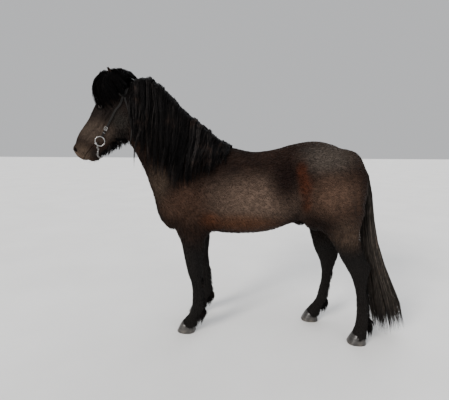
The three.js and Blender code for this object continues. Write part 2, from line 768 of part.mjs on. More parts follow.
function mouthLine() {
  const spine = [[MOUTH_CORNER.along, MOUTH_CORNER.across], [445, 21], [490, 28], [530, 32], [610, 38]]
    .map(([along, across]) => onHead(along, across, 0));
  return strip(spine, () => HEAD_ACROSS, 120, 2.6);
}

const bitPoint = { along: RING.along + RING.radius * 0.86, across: RING.across + RING.radius * 0.51 };

function bar(radius, halfLength) {
  const geometry = new THREE.CylinderGeometry(radius, radius, 2 * halfLength, 7);
  return placed(geometry, HEAD_ALONG, SIDEWAYS, HEAD_BACK, onHead(bitPoint.along, bitPoint.across, 0));
}

const openings = (side) => [
  nostril(side),
  eyeball(side, EYE.radius + GAP),
];

// The head behind the muzzle, and the muzzle, which needs finer forms
function headFlesh(step, plane) {
  const skin = polygonise(flesh, [-1520, -150, 1225], [-950, 150, 1850], step)
    .intersect(halfSpace(HEAD_CUT, BACKWARD, -GAP / 2))
    .intersect(plane);
  const raised = joined([largest(skin), lids(NEAR), lids(FAR)]).intersect(plane);
  const cuts = [mouthLine(), bar(MOUTHPIECE_RADIUS + GAP, 120), ...openings(NEAR), ...openings(FAR)];
  return largest(cuts.reduce((rest, cut) => rest.subtract(cut), raised));
}

// An ear: a leaf-shaped cup, open forward and outward
const EAR_RINGS = [
  [0, 0.55], [0.14, 0.8], [0.32, 1], [0.5, 0.98], [0.68, 0.8], [0.85, 0.48], [0.96, 0.18],
];

// The outside of an ear, with a margin added on every side
function earShell(side, ring, margin) {
  return loft([
    ...EAR_RINGS.map(([place, size], n) => ring(
      n === 0 ? -margin / EAR.length : place, EAR.width * size + margin, EAR.depth * size + margin, 0,
    )),
    ring(1 + margin / EAR.length, margin + 0.5, margin + 0.5, 0),
  ]);
}

function earRing(side) {
  const root = onHead(EAR.along, EAR.across, side * EAR.side);
  const up = headDirection(-0.485, 0.86, side * 0.12).normalize();
  const open = headDirection(0.5, 0.5, side * 0.75);
  open.addScaledVector(up, -open.dot(up)).normalize();
  const edge = new THREE.Vector3().crossVectors(up, open);
  return (place, wide, deep, forward) => Array.from({ length: 8 }, (_, i) => {
    const turn = (i / 8) * 2 * Math.PI;
    return root.clone()
      .addScaledVector(up, place * EAR.length)
      .addScaledVector(open, forward + 9 * Math.sin(Math.PI * place) + deep * Math.cos(turn))
      .addScaledVector(edge, wide * Math.sin(turn));
  });
}

function ear(side) {
  const ring = earRing(side);
  const hollow = loft([
    ...EAR_RINGS.slice(1).map(([place, size]) => ring(
      place * 0.97,
      Math.max(EAR.width * size - EAR.wall, 2),
      EAR.depth * size,
      Math.max(EAR.depth * size * 0.85, EAR.wall + 1),
    )),
  ]);
  return earShell(side, ring, 0).subtract(hollow);
}

// Bridle and bit

const mirrored = ([along, across, side]) => [along, across, -side];

// A leather strap laid on the skin through points given on the head's left side
function strap({ points, halfWidth, sides }, margin = 0) {
  const across = [...points, ...points.slice(0, -1).reverse().map(mirrored)];
  const all = { both: across, left: points, right: points.map(mirrored) }[sides];
  const curve = new THREE.CatmullRomCurve3(all.map((place) => onHead(...place)), false, "centripetal");
  const count = Math.ceil(curve.getLength() / 38);
  const spine = curve.getSpacedPoints(count).map((point) => onSkin(point, STRAP.lift));
  return bent(strip(
    spine, (point) => slopeOf(flesh, point), halfWidth + margin, STRAP.thickness + 2 * margin,
  ));
}

const CROWN = {
  points: [[-6, -12, -88], [-30, -8, -76], [-48, 2, -50], [-57, 10, -22], [-59, 12, 0]],
  halfWidth: 9,
  sides: "both",
};
const CHEEK_POINTS = [
  [-12, -11, -86], [55, -28, -95], [100, -24, -98], [170, -26, -92], [256, -24, -76], [330, -17, -70],
];
const CHEEK_STRAPS = SIDES.map(({ name }) => ({ points: CHEEK_POINTS, halfWidth: 7, sides: name }));
const BROWBAND = {
  points: [[-8, -10, -89], [0, 60, -88], [10, 108, -62], [14, 128, -30], [15, 131, 0]],
  halfWidth: 8,
  sides: "both",
};
const THROATLATCH = {
  points: [
    [-6, -22, -89], [60, -98, -98], [140, -168, -92], [215, -208, -70], [255, -214, -35], [262, -216, 0],
  ],
  halfWidth: 5.5,
  sides: "both",
};
const CHAIN = [[403, -25, -71], [436, -32, -62], [470, -40, -46], [487, -52, -24], [491, -56, 0]];
const BUCKLE = { place: [250, -24, -76], long: 30, wide: 25, bar: 4.5, thick: 3 };

function ring(side) {
  const geometry = new THREE.TorusGeometry(RING.radius, RING.wire, 5, 16);
  return placed(geometry, HEAD_ALONG, HEAD_ACROSS, SIDEWAYS,
    onHead(RING.along, RING.across, side * RING.side));
}

function buckle(side) {
  const at = onSkin(onHead(...BUCKLE.place.map((v, i) => (i === 2 ? v * -side : v))), STRAP.lift);
  const normal = slopeOf(flesh, at).normalize();
  const along = HEAD_ALONG.clone().addScaledVector(normal, -normal.dot(HEAD_ALONG)).normalize();
  const edge = new THREE.Vector3().crossVectors(normal, along);
  const lift = (STRAP.thickness + BUCKLE.thick) / 2 + GAP;
  const centre = at.addScaledVector(normal, lift);
  const plate = (long, wide, thick) => placed(new THREE.BoxGeometry(long, wide, thick), along, edge,
    normal, centre);
  return plate(BUCKLE.long, BUCKLE.wide, BUCKLE.thick).subtract(
    plate(BUCKLE.long - 2 * BUCKLE.bar, BUCKLE.wide - 2 * BUCKLE.bar, BUCKLE.thick * 3),
  );
}

// A curb chain: its links read as a bar that swells and turns
function chain() {
  const all = [...CHAIN, ...CHAIN.slice(0, -1).reverse().map(mirrored)];
  const curve = new THREE.CatmullRomCurve3(all.map((place) => onHead(...place)), false, "centripetal");
  const count = 14;
  const spine = curve.getSpacedPoints(count).map((point, i) => {
    const free = i < 2 || i > count - 2;
    return free ? point : onSkin(point, 6);
  });
  return loft(frames(spine, (point) => slopeOf(flesh, point)).map(({ point, face, edge }, i) => {
    const size = i % 2 === 0 ? 5 : 3.2;
    const turn = (i % 2) * (Math.PI / 4);
    return Array.from({ length: 4 }, (_, n) => {
      const angle = turn + (n * Math.PI) / 2;
      return point.clone()
        .addScaledVector(edge, size * Math.cos(angle))
        .addScaledVector(face, size * Math.sin(angle));
    });
  }));
}

// Hair in locks, each rooted in the flesh and bent along its lie

const lerp = THREE.MathUtils.lerp;
const maneTop = smoothTable(MANE_TOP);
const maneTip = smoothTable(MANE_TIP);
const tailRear = smoothTable(TAIL_REAR);
const tailFront = smoothTable(TAIL_FRONT);

// Height of the crest of the neck under the mane
function crestHeight(x) {
  let z = maneTop(x)[1];
  while (bodyField(x, 0, z) > 0 && maneCore(x, 0, z) > 0) z -= 5;
  return z;
}

const MANE_LAYERS = [
  { side: NEAR, count: 5, shift: 0.8, lift: 5, below: 18, reach: 1, halfWidth: 64, thickness: 14 },
  { side: NEAR, count: 6, shift: 0.3, lift: 20, below: 2, reach: 0.97, halfWidth: 56, thickness: 14 },
  { side: FAR, count: 4, shift: 0.5, lift: 6, below: 10, reach: 0.34, halfWidth: 76, thickness: 14 },
];
const MANE_SPAN = { front: -1010, rear: -325 };
const MANE_FALL = [0.18, 0.58, 1];
const MANE_ROOT = 62;

// Out of the crest, over its top and down the side of the neck
function maneLocks() {
  const random = seeded(11);
  return MANE_LAYERS.flatMap(({ side, count, shift, lift, below, reach, halfWidth, thickness }) => (
    Array.from({ length: count }, (_, i) => {
      const x = lerp(MANE_SPAN.front, MANE_SPAN.rear, (i + shift) / count);
      const rise = (maneTop(x + 20)[1] - maneTop(x - 20)[1]) / 40;
      const normal = new THREE.Vector3(-rise, 0, 1).normalize();
      const top = maneTop(x)[1] - below;
      const fall = (top - maneTip(x)[1]) * reach * (0.93 + 0.12 * random());
      const swing = 16 * (random() - 0.5);
      const wave = random() * Math.PI;
      const crown = new THREE.Vector3(x, side * 6, top).addScaledVector(normal, -thickness);
      const root = new THREE.Vector3(x, -side * 6, crestHeight(x)).addScaledVector(normal, -MANE_ROOT);
      const falling = MANE_FALL.map((u) => {
        const z = top - fall * u;
        const out = Math.max(skinSide(x, z, side, bodyField), 34 + 60 * u) + lift;
        return new THREE.Vector3(x + swing * u + 8 * Math.sin(wave + 4 * u), side * out, z);
      });
      const facing = [new THREE.Vector3(0, -side, 0), normal.clone().setY(0.35 * side)];
      const outward = new THREE.Vector3(0, side, 0.15);
      const level = new THREE.Vector3(-side, 0, 0);
      const sloping = level.clone().setZ(-side * rise);
      const edgeTo = (u) => sloping.clone().lerp(level, THREE.MathUtils.smoothstep(u, 0.3, 0.8));
      return lock([root, crown, ...falling], (_p, n) => facing[n] ?? outward, {
        halfWidth, thickness, edgeTo,
      });
    })
  ));
}

// Paths of the forelock on the head, from the middle round to behind the ear: along, across, sideways
const FORELOCK_PATHS = [
  [[0, -28, 60, 0], [0.5, -20, 66, 24], [1, -8, 50, 50], [1.7, -30, 36, 52]],
  [[0, -72, 204, 0], [0.5, -70, 188, 40], [1, -72, 152, 72], [1.7, -108, 134, 70]],
  [[0, -4, 246, 0], [0.5, -2, 222, 58], [1, -4, 160, 96], [1.7, -126, 112, 90]],
  [[0, 76, 226, 0], [0.5, 70, 196, 76], [1, 45, 114, 110], [1.7, -118, 64, 104]],
  [[0, 134, 176, 0], [0.5, 114, 146, 90], [1, 78, 44, 112], [1.7, -92, 18, 106]],
  [[0, 148, 122, 0], [0.5, 126, 94, 92], [1, 90, -14, 108], [1.7, -58, -16, 100]],
].map(smoothTable);
const FORELOCK_MIDDLE = [30, 112, 0];
const FORELOCK_LOCKS = { count: 8, reach: 1.62, halfWidth: 56, thickness: 15, stagger: 24 };
const pointedLock = (u) => Math.min(1, 0.6 + 2 * u) * (1 - 0.85 * u ** 1.8);

function forelockLocks() {
  const random = seeded(3);
  const middle = onHead(...FORELOCK_MIDDLE);
  const { count, reach, halfWidth, thickness, stagger } = FORELOCK_LOCKS;
  return Array.from({ length: count }, (_, i) => {
    const fan = reach * (-1 + (2 * (i + 0.5)) / count) + 0.05 * (random() - 0.5);
    const puff = 0.95 + 0.07 * random();
    const spine = FORELOCK_PATHS.map((path, n) => {
      const [, along, across, away] = path(Math.abs(fan));
      const point = onHead(along, across, Math.sign(fan) * away);
      return n === 0 ? point : point.lerpVectors(middle, point, puff);
    });
    const last = spine.length - 1;
    const end = spine[last].clone().sub(spine[last - 1]).setLength(stagger * (random() - 0.6));
    spine[last].add(end);
    return lock(spine, (point) => point.clone().sub(middle), {
      halfWidth, thickness, widthAt: pointedLock,
    });
  });
}

// Hair of the poll, between the ears and back to the mane: the middle, then the outermost
const POLL_PATHS = [
  [[-28, 40, 0], [-76, 134, 0], [-122, 124, 0], [-130, 40, 0]],
  [[-30, 34, 26], [-66, 92, 30], [-102, 86, 36], [-112, 20, 46]],
];
const POLL_LOCKS = { count: 3, halfWidth: 38, thickness: 16 };

function pollLocks() {
  return Array.from({ length: POLL_LOCKS.count }, (_, i) => {
    const fan = -1 + (2 * i) / (POLL_LOCKS.count - 1);
    const spine = POLL_PATHS[0].map((inner, n) => {
      const outer = POLL_PATHS[1][n];
      const [along, across, away] = inner.map((v, k) => lerp(v, outer[k], Math.abs(fan)));
      return onHead(along, across, Math.sign(fan) * away);
    });
    const middle = onHead(-60, 20, 0);
    return lock(spine, (point) => point.clone().sub(middle), POLL_LOCKS);
  });
}

// Long hair under the jaw: root and tip, along and across the head, and the distance from the middle
const JAW_HAIR = [
  { root: [236, -130], tip: [262, -204], away: 30 },
  { root: [262, -104], tip: [306, -172], away: 26 },
  { root: [288, -72], tip: [352, -139], away: 28 },
];
const CHIN_HAIR = [
  { root: [338, -66], tip: [398, -104], away: 24 },
  { root: [372, -58], tip: [436, -82], away: 20 },
];
const BEARD_LOCKS = { halfWidth: 17, thickness: 11 };

function beardLocks(places, margin = 0) {
  const { halfWidth, thickness } = BEARD_LOCKS;
  return places.flatMap(({ root, tip, away }) => SIDES.map(({ side }) => {
    const spine = [0, 0.35, 0.7, 1].map((u) => onHead(
      lerp(root[0], tip[0], u) - 10 * Math.sin(Math.PI * u),
      lerp(root[1], tip[1], u) - 6 * Math.sin(Math.PI * u),
      side * (away + 6 * u),
    ));
    return lock(spine.map((point) => point.clone().setY(point.y - side * margin)),
      () => new THREE.Vector3(0, side, 0),
      { halfWidth: halfWidth + 2 * margin, thickness: thickness + 3 * margin });
  }));
}

// The dock and the dense hair round it, which ends half way down
const TAIL_CORE = [
  { z: 1262, x: 530, deep: 30, wide: 30 },
  { z: 1216, x: 590, deep: 32, wide: 34 },
];
const TAIL_CORE_HEIGHTS = [1150, 1060, 960, 850, 740, 650];
const TAIL_CORE_INSET = 16;
const TAIL_CORE_END = 0.3;
const TAIL_HALF_WIDTH = smoothTable([
  [20, 100], [100, 106], [230, 104], [420, 96], [700, 82], [960, 66], [1120, 50], [1225, 36],
]);
const TAIL_RINGS = [
  { count: 7, spread: 1, rise: 0, halfWidth: 50, top: 1130 },
  { count: 3, spread: 0.42, rise: 60, halfWidth: 36, top: 740 },
];
const TAIL_FALL = [0.14, 0.42, 0.72, 1];
const TAIL_SHINGLE = 14;
const TAIL_TIPS = { front: 16, rear: 100 };

const tailMiddle = (z) => (tailFront(z)[1] + tailRear(z)[1]) / 2;
const tailDepth = (z) => (tailRear(z)[1] - tailFront(z)[1]) / 2;

function tailLocks() {
  const random = seeded(5);
  const lowest = TAIL_CORE_HEIGHTS.length - 1;
  const sections = [...TAIL_CORE, ...TAIL_CORE_HEIGHTS.map((z, i) => {
    const size = i === lowest ? TAIL_CORE_END : 1;
    return {
      z,
      x: tailMiddle(z),
      deep: size * Math.max(tailDepth(z) - TAIL_CORE_INSET, 14),
      wide: size * (TAIL_HALF_WIDTH(z)[1] - TAIL_CORE_INSET),
    };
  })];
  const core = loft(sections.map(({ z, x, deep, wide }) => Array.from({ length: 10 }, (_, i) => {
    const turn = (i / 10) * 2 * Math.PI;
    return new THREE.Vector3(x + deep * Math.cos(turn), wide * Math.sin(turn), z);
  })));
  const locks = TAIL_RINGS.flatMap(({ count, spread, rise, halfWidth, top }) => (
    Array.from({ length: count }, (_, i) => {
      const turn = ((i + 0.5) / count) * 2 * Math.PI;
      const back = (1 + Math.cos(turn)) / 2;
      const tip = lerp(TAIL_TIPS.front, TAIL_TIPS.rear, back) + rise + 36 * random();
      const drift = 0.88 + 0.16 * random();
      const point = (z, out) => new THREE.Vector3(
        tailMiddle(z) + (spread * tailDepth(z) - out) * Math.cos(turn),
        (spread * TAIL_HALF_WIDTH(z)[1] - out) * Math.sin(turn) * (z < 600 ? drift : 1),
        z,
      );
      const falling = TAIL_FALL.map((u) => point(lerp(top, tip, u), 12 + (i % 2 ? TAIL_SHINGLE * u : 0)));
      const outward = new THREE.Vector3(Math.cos(turn), Math.sin(turn), 0);
      return lock([point(top + 20, 34), ...falling], () => outward, {
        halfWidth, thickness: 13, widthAt: spreadingLock,
      });
    })
  ));
  return joined([core, ...locks]);
}

// How far back the leg reaches at a height
function backOfLeg(foot, z) {
  let x = foot.heel + 190;
  while (flesh(x, foot.side * foot.y, z) > 0) x -= 3;
  return x;
}

const FEATHER = { count: 3, halfWidth: 28, thickness: 11, root: 196, tip: 56, out: 24 };

function featherLocks(foot) {
  const random = seeded(foot.heel + 3);
  return Array.from({ length: FEATHER.count }, (_, i) => {
    const fan = -1 + (2 * i) / (FEATHER.count - 1);
    const inward = 18 * fan * fan;
    const y = foot.side * foot.y;
    const rootAt = FEATHER.root - 26 * fan * fan;
    const tipAt = FEATHER.tip + 22 * fan * fan + 14 * random();
    const spine = [
      new THREE.Vector3(backOfLeg(foot, rootAt) - 16 - inward, y + 20 * fan, rootAt),
      new THREE.Vector3(backOfLeg(foot, rootAt - 30) + 6 - inward, y + 31 * fan, rootAt - 34),
      new THREE.Vector3(backOfLeg(foot, 120) + FEATHER.out - inward, y + 34 * fan, 112),
      new THREE.Vector3(backOfLeg(foot, 90) + FEATHER.out + 6 - inward, y + 30 * fan, tipAt),
    ];
    return lock(spine, () => new THREE.Vector3(1, 0.9 * fan, 0.1), FEATHER);
  });
}

const CANNON_HAIR = [
  { from: 400, to: 306 }, { from: 318, to: 236 },
];

function cannonLocks(foot) {
  return CANNON_HAIR.map(({ from, to }) => {
    const y = foot.side * foot.y;
    const spine = [[from, -14], [lerp(from, to, 0.5), 2], [to, 13]].map(
      ([z, out]) => new THREE.Vector3(backOfLeg(foot, z) + out, y, z),
    );
    return lock(spine, () => new THREE.Vector3(1, 0, 0.1), { halfWidth: 15, thickness: 9 });
  });
}

// Assembly: the order decides which node is cut clear of which

const COLOURS = {
  coat: { color: 0x2b1d18, roughness: 0.75, metalness: 0 },
  hair: { color: 0x17130f, roughness: 0.6, metalness: 0 },
  horn: { color: 0x3a3734, roughness: 0.55, metalness: 0 },
  eye: { color: 0x120c08, roughness: 0.12, metalness: 0 },
  leather: { color: 0x1c1512, roughness: 0.5, metalness: 0 },
  metal: { color: 0xb9bbbd, roughness: 0.25, metalness: 1 },
};

function bend(v) {
  const past = BEND.start - v.x;
  if (past <= 0) return v;
  const rate = BEND.angle / BEND.length;
  const turned = Math.min(past, BEND.length);
  const straight = past - turned;
  const angle = rate * turned;
  const along = Math.sin(angle) / rate + straight * Math.cos(angle);
  const aside = (1 - Math.cos(angle)) / rate + straight * Math.sin(angle);
  return new THREE.Vector3(
    BEND.start - along + v.y * Math.sin(angle),
    -aside + v.y * Math.cos(angle),
    v.z,
  );
}

// Everything from the neck forward is made straight and turned with the head before it is cut
function bent(solid) {
  const { vertices, triVerts } = readSolid(solid);
  return solidOf(vertices.map(bend), [[...triVerts]]);
}

// Joins leave edges far shorter than a hair is thick: their two ends become one point
function withoutSpecks(solid) {
  const { vertices, triVerts } = readSolid(solid);
  const home = vertices.map((_, i) => i);
  const find = (i) => {
    while (home[i] !== i) i = home[i];
    return i;
  };
  for (let i = 0; i < triVerts.length; i += 3) {
    for (const [a, b] of [[0, 1], [1, 2], [2, 0]]) {
      const [from, to] = [find(triVerts[i + a]), find(triVerts[i + b])];
      if (from !== to && vertices[from].distanceTo(vertices[to]) < SPECK) home[to] = from;
    }
  }
  const faces = new Map();
  for (let i = 0; i < triVerts.length; i += 3) {
    const face = [0, 1, 2].map((k) => find(triVerts[i + k]));
    if (new Set(face).size < 3) continue;
    const key = [...face].sort((a, b) => a - b).join();
    if (faces.has(key)) faces.delete(key);
    else faces.set(key, face);
  }
  const triangles = [...faces.values()];
  return solidOf(partedPoints(vertices, triangles), triangles);
}

// Two points of different edges that lie all but together: one moves a hair towards its neighbours
function partedPoints(vertices, triangles) {
  const ring = new Map();
  for (const face of triangles) {
    for (const corner of face) {
      if (!ring.has(corner)) ring.set(corner, []);
      ring.get(corner).push(...face);
    }
  }
  const moved = vertices.map((v) => v.clone());
  const order = [...ring.keys()].sort((a, b) => vertices[a].x - vertices[b].x);
  order.forEach((a, i) => {
    for (const b of order.slice(i + 1)) {
      if (vertices[b].x - vertices[a].x > SPECK) break;
      if (moved[a].distanceTo(moved[b]) > SPECK / 2) continue;
      const middle = ring.get(b).reduce((sum, v) => sum.add(vertices[v]), new THREE.Vector3())
        .divideScalar(ring.get(b).length);
      moved[b].add(middle.sub(moved[b]).setLength(SPECK));
    }
  });
  return moved;
}

const parts = [];

function part(name, solid, colour) {
  const { vertices, triVerts } = readSolid(largest(withoutSpecks(solid)));
  const geometry = new THREE.BufferGeometry();
  const numbers = vertices.flatMap((v) => v.toArray());
  geometry.setAttribute("position", new THREE.Float32BufferAttribute(numbers, 3));
  geometry.setIndex([...triVerts]);
  geometry.computeVertexNormals();
  const mesh = new THREE.Mesh(geometry, new THREE.MeshStandardMaterial(COLOURS[colour]));
  mesh.name = name;
  parts.push(mesh);
}

const torso = torsoSolid();
const neckBody = bent(neckSolid());
const muzzleAt = onHead(MUZZLE_CUT, 0, 0);
const skull = bent(headFlesh([29, 25, 29], halfSpace(muzzleAt, HEAD_ALONG, -GAP / 2)));
const muzzleBody = bent(headFlesh([24, 21, 24], halfSpace(muzzleAt, headDirection(-1, 0, 0), -GAP / 2)));
const headBody = skull.add(muzzleBody);
const rings = SIDES.map(({ side }) => bent(ring(side)));
const ears = SIDES.map(({ side }) => clearOf(bent(ear(side)), headBody));
const earRoom = SIDES.map(({ side }) => bent(earShell(side, earRing(side), HAIR_GAP)));
const eyeRoom = SIDES.map(({ side }) => bent(eyeball(side, EYE.radius + HAIR_GAP)));

// Each strap is cut clear of those before it, by the room they take up
const without = (solid, rooms) => largest(rooms.reduce((rest, room) => rest.subtract(room), solid));
const [crownRoom, leftRoom, rightRoom, browRoom, throatRoom] = [
  CROWN, ...CHEEK_STRAPS, BROWBAND, THROATLATCH,
].map((band) => strap(band, STRAP_GAP));
const crown = clearOf(strap(CROWN), headBody, neckBody);
const cheeks = CHEEK_STRAPS.map((band, i) => without(clearOf(strap(band), headBody, rings[i]), [crownRoom]));
const browband = without(clearOf(strap(BROWBAND), headBody), [crownRoom, leftRoom, rightRoom]);
const throatlatch = without(
  clearOf(strap(THROATLATCH), headBody, neckBody),
  [crownRoom, leftRoom, rightRoom, browRoom],
);
const wornRoom = [crownRoom, leftRoom, rightRoom, browRoom, throatRoom];
const bit = bent(bar(MOUTHPIECE_RADIUS, RING.side - RING.wire - GAP));
const curb = clearOf(bent(chain()), headBody, ...rings);

const cutBy = (hair, rooms) => rooms.reduce((rest, room) => rest.subtract(room), hair);
const headSide = halfSpace(HEAD_CUT, BACKWARD, -HAIR_GAP);
const neckSide = halfSpace(HEAD_CUT, FORWARD, -HAIR_GAP);
const underRoom = [grown(curb, HAIR_GAP), ...rings.map((solid) => grown(solid, HAIR_GAP))];
const hairRoom = [...wornRoom, ...earRoom, ...eyeRoom];
const jawHair = cutBy(bent(joined(beardLocks(JAW_HAIR))), [...underRoom, ...wornRoom]);
const chinHair = cutBy(bent(joined(beardLocks(CHIN_HAIR))), underRoom);
const chinRoom = bent(joined(beardLocks(CHIN_HAIR, HAIR_GAP)));
const muzzle = largest(muzzleBody.add(chinHair.subtract(grown(skull))));
const topHair = cutBy(bent(joined([...forelockLocks(), ...pollLocks()]).intersect(headSide)), hairRoom);
const head = largest(joined([skull, topHair, cutBy(jawHair, [grown(muzzleBody), chinRoom])]));
const maneHair = cutBy(bent(joined(maneLocks()).intersect(neckSide)), [...wornRoom, grown(torso)]);
const neckNode = largest(neckBody.add(maneHair));
const tail = clearOf(tailLocks(), torso);

part("torso", torso, "coat");
part("neck", neckNode, "coat");
part("head", head, "coat");
part("muzzle", muzzle, "coat");
part("tail", tail, "hair");
SIDES.forEach(({ name, side }, i) => {
  part(`ear_${name}`, ears[i], "coat");
  part(`eye_${name}`, bent(eyeball(side, EYE.radius)), "eye");
});
for (const foot of FEET) {
  const name = `${foot.leg}leg_${sideName(foot.side)}`;
  const shaft = cannon(foot);
  const low = largest(joined([pastern(foot), ...featherLocks(foot)]).subtract(grown(shaft)));
  part(`${name}_upper`, upperLeg(foot), "coat");
  part(`${name}_cannon`, largest(joined([shaft, ...cannonLocks(foot)]).subtract(grown(low))), "coat");
  part(`${name}_pastern`, low, "coat");
  part(`hoof_${foot.leg}_${sideName(foot.side)}`, hoof(foot), "horn");
}
part("bridle_crown", crown, "leather");
part("bridle_browband", browband, "leather");
part("bridle_throatlatch", throatlatch, "leather");
SIDES.forEach(({ name, side }, i) => {
  part(`bridle_cheek_${name}`, cheeks[i], "leather");
  part(`bridle_buckle_${name}`, clearOf(bent(buckle(side)), cheeks[i]), "metal");
  part(`bit_ring_${name}`, rings[i], "metal");
});
part("bit_mouthpiece", bit, "metal");
part("curb_chain", curb, "metal");

// The origin goes to the middle of the box's underside, on the floor
const group = new THREE.Group();
group.add(...parts);
const box = new THREE.Box3().setFromObject(group);
const middle = box.getCenter(new THREE.Vector3());
group.position.set(-middle.x, -middle.y, -box.min.z);
group.userData.offset = [-middle.x, -middle.y, -box.min.z];

export default group;
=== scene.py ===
# A standing icelandic horse in a bridle: skin, coat, long hair, eyes, hooves, leather and steel.
#
# Shapes are worked out in millimetres with the muzzle toward -X, the left side of the horse at -Y
# and the head straight on the neck. The head is then turned, and the points go to the frame's metres.
# Arrays of points have the shape (n, 3). A field is negative inside the flesh.

import math

import bmesh
import bpy
import numpy as np
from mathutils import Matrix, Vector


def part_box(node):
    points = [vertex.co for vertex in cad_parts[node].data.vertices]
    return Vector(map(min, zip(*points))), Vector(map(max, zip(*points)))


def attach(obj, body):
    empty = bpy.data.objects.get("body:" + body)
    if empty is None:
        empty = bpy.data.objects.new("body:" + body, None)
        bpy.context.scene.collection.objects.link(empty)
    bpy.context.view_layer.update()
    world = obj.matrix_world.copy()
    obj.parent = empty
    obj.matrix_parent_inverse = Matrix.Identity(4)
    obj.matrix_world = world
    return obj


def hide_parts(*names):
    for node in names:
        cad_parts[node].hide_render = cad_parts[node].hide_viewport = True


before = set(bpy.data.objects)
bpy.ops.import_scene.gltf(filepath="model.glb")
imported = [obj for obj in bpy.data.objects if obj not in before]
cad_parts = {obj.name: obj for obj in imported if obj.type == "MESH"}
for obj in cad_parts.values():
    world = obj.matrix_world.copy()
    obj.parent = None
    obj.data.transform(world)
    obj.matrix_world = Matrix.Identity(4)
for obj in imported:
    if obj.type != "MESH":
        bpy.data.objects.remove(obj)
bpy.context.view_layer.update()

NEAR, FAR = -1, 1
MM = 0.001

# Where the frame puts the left fore hoof, against where it is in the shapes' own axes
HOOF_CENTRE = (-625.5, -156.0)
hoof_low, hoof_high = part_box("hoof_fore_left")
SHIFT = np.array([
    (hoof_low.x + hoof_high.x) / 2 - HOOF_CENTRE[0] * MM,
    (hoof_low.y + hoof_high.y) / 2 - HOOF_CENTRE[1] * MM,
    hoof_low.z,
])

BEND_START, BEND_LENGTH, BEND_ANGLE = -870.0, 90.0, math.radians(13)


def bend(points):
    """Turns the head to the left about a vertical axis just behind the throat."""
    past = np.maximum(BEND_START - points[:, 0], 0)
    rate = BEND_ANGLE / BEND_LENGTH
    turned = np.minimum(past, BEND_LENGTH)
    straight = past - turned
    angle = rate * turned
    along = np.sin(angle) / rate + straight * np.cos(angle)
    aside = (1 - np.cos(angle)) / rate + straight * np.sin(angle)
    x = np.where(past > 0, BEND_START - along + points[:, 1] * np.sin(angle), points[:, 0])
    y = np.where(past > 0, -aside + points[:, 1] * np.cos(angle), points[:, 1])
    return np.stack([x, y, points[:, 2]], axis=1)


def to_frame(points):
    return bend(np.asarray(points, float).reshape(-1, 3)) * MM + SHIFT


# Frames in the plane of symmetry: origin, along and across as (x, z)

TRUNK_FRAME = ((0, 0), (1, 0), (0, 1))
LEG_FRAME = ((0, 0), (0, 1), (1, 0))
NECK_FRAME = ((-560, 1090), (-0.66, 0.751), (0.751, 0.66))
HEAD_FRAME = ((-1062, 1722), (-0.536, -0.845), (-0.845, 0.536))


HEAD_ALONG, HEAD_ACROSS = (np.array([x, 0, z]) for x, z in HEAD_FRAME[1:])
SIDEWAYS = np.array([0.0, 1.0, 0.0])


def on_head(along, across, side):
    (ox, oz), (ax, az), (cx, cz) = HEAD_FRAME
    along, across, side = np.broadcast_arrays(*(np.asarray(v, float) for v in (along, across, side)))
    return np.stack([ox + ax * along + cx * across, side, oz + az * along + cz * across], axis=-1)


def head_direction(along, across, side):
    return along * HEAD_ALONG + across * HEAD_ACROSS + side * SIDEWAYS


def head_place(points):
    """Along, across and sideways on the head."""
    (ox, oz), (ax, az), (cx, cz) = HEAD_FRAME
    dx, dz = points[:, 0] - ox, points[:, 2] - oz
    return dx * ax + dz * az, dx * cx + dz * cz, points[:, 1]


# Section tables: place along, far edge, near edge, half width, taper to the far edge, sideways

TRUNK = [
    (-800, 1120, 850, 110, 0), (-740, 1200, 785, 165, 0), (-660, 1262, 762, 202, 0.05),
    (-560, 1302, 752, 224, 0.12), (-430, 1338, 742, 248, 0.2), (-300, 1345, 736, 272, 0.2),
    (-140, 1334, 742, 288, 0.1), (0, 1352, 770, 290, 0.06), (120, 1385, 820, 284, 0.12),
    (240, 1406, 870, 264, 0.2), (340, 1399, 893, 242, 0.25), (450, 1356, 900, 205, 0.25),
    (530, 1284, 940, 160, 0.2),
]
NECK = [
    (-100, 338, -345, 205, 0.25), (0, 328, -352, 196, 0.3), (100, 296, -322, 168, 0.35),
    (200, 256, -290, 144, 0.35), (320, 224, -238, 121, 0.32), (440, 198, -200, 104, 0.28),
    (540, 182, -174, 95, 0.25), (640, 164, -130, 88, 0.2), (720, 142, -80, 82, 0.15),
    (800, 112, -20, 74, 0.1),
]
HEAD = [
    (-52, 28, -62, 55, 0), (0, 82, -92, 82, 0), (50, 122, -120, 95, 0), (100, 148, -130, 100, 0),
    (150, 160, -122, 98, 0.02), (210, 161, -104, 86, 0.1), (284, 159, -84, 71, 0.16),
    (357, 165, -72, 60, 0.16), (410, 168, -60, 53, 0.14), (466, 159, -42, 51, 0.06),
    (505, 138, -34, 52, 0), (538, 112, -8, 46, 0), (555, 86, 26, 34, 0),
]
FORELEG = [
    (20, -535, -665, 58, 0, 156), (60, -544, -660, 57, 0, 156), (95, -530, -640, 50, 0, 156),
    (120, -515, -619, 46, 0, 156), (150, -496, -600, 46, 0, 156), (190, -484, -586, 46, 0, 156),
    (230, -487, -580, 39, 0, 156), (280, -492, -578, 36, 0, 155), (340, -494, -580, 38, 0, 155),
    (390, -496, -588, 46, 0, 154), (430, -499, -600, 54, 0, 153), (470, -501, -612, 55, 0, 153),
    (520, -501, -624, 53, 0, 152), (580, -492, -637, 57, 0, 151), (640, -482, -648, 64, 0, 149),
    (700, -474, -665, 70, 0, 147), (750, -462, -690, 76, 0, 145), (800, -447, -718, 80, 0, 143),
    (860, -445, -735, 78, 0, 138),
]
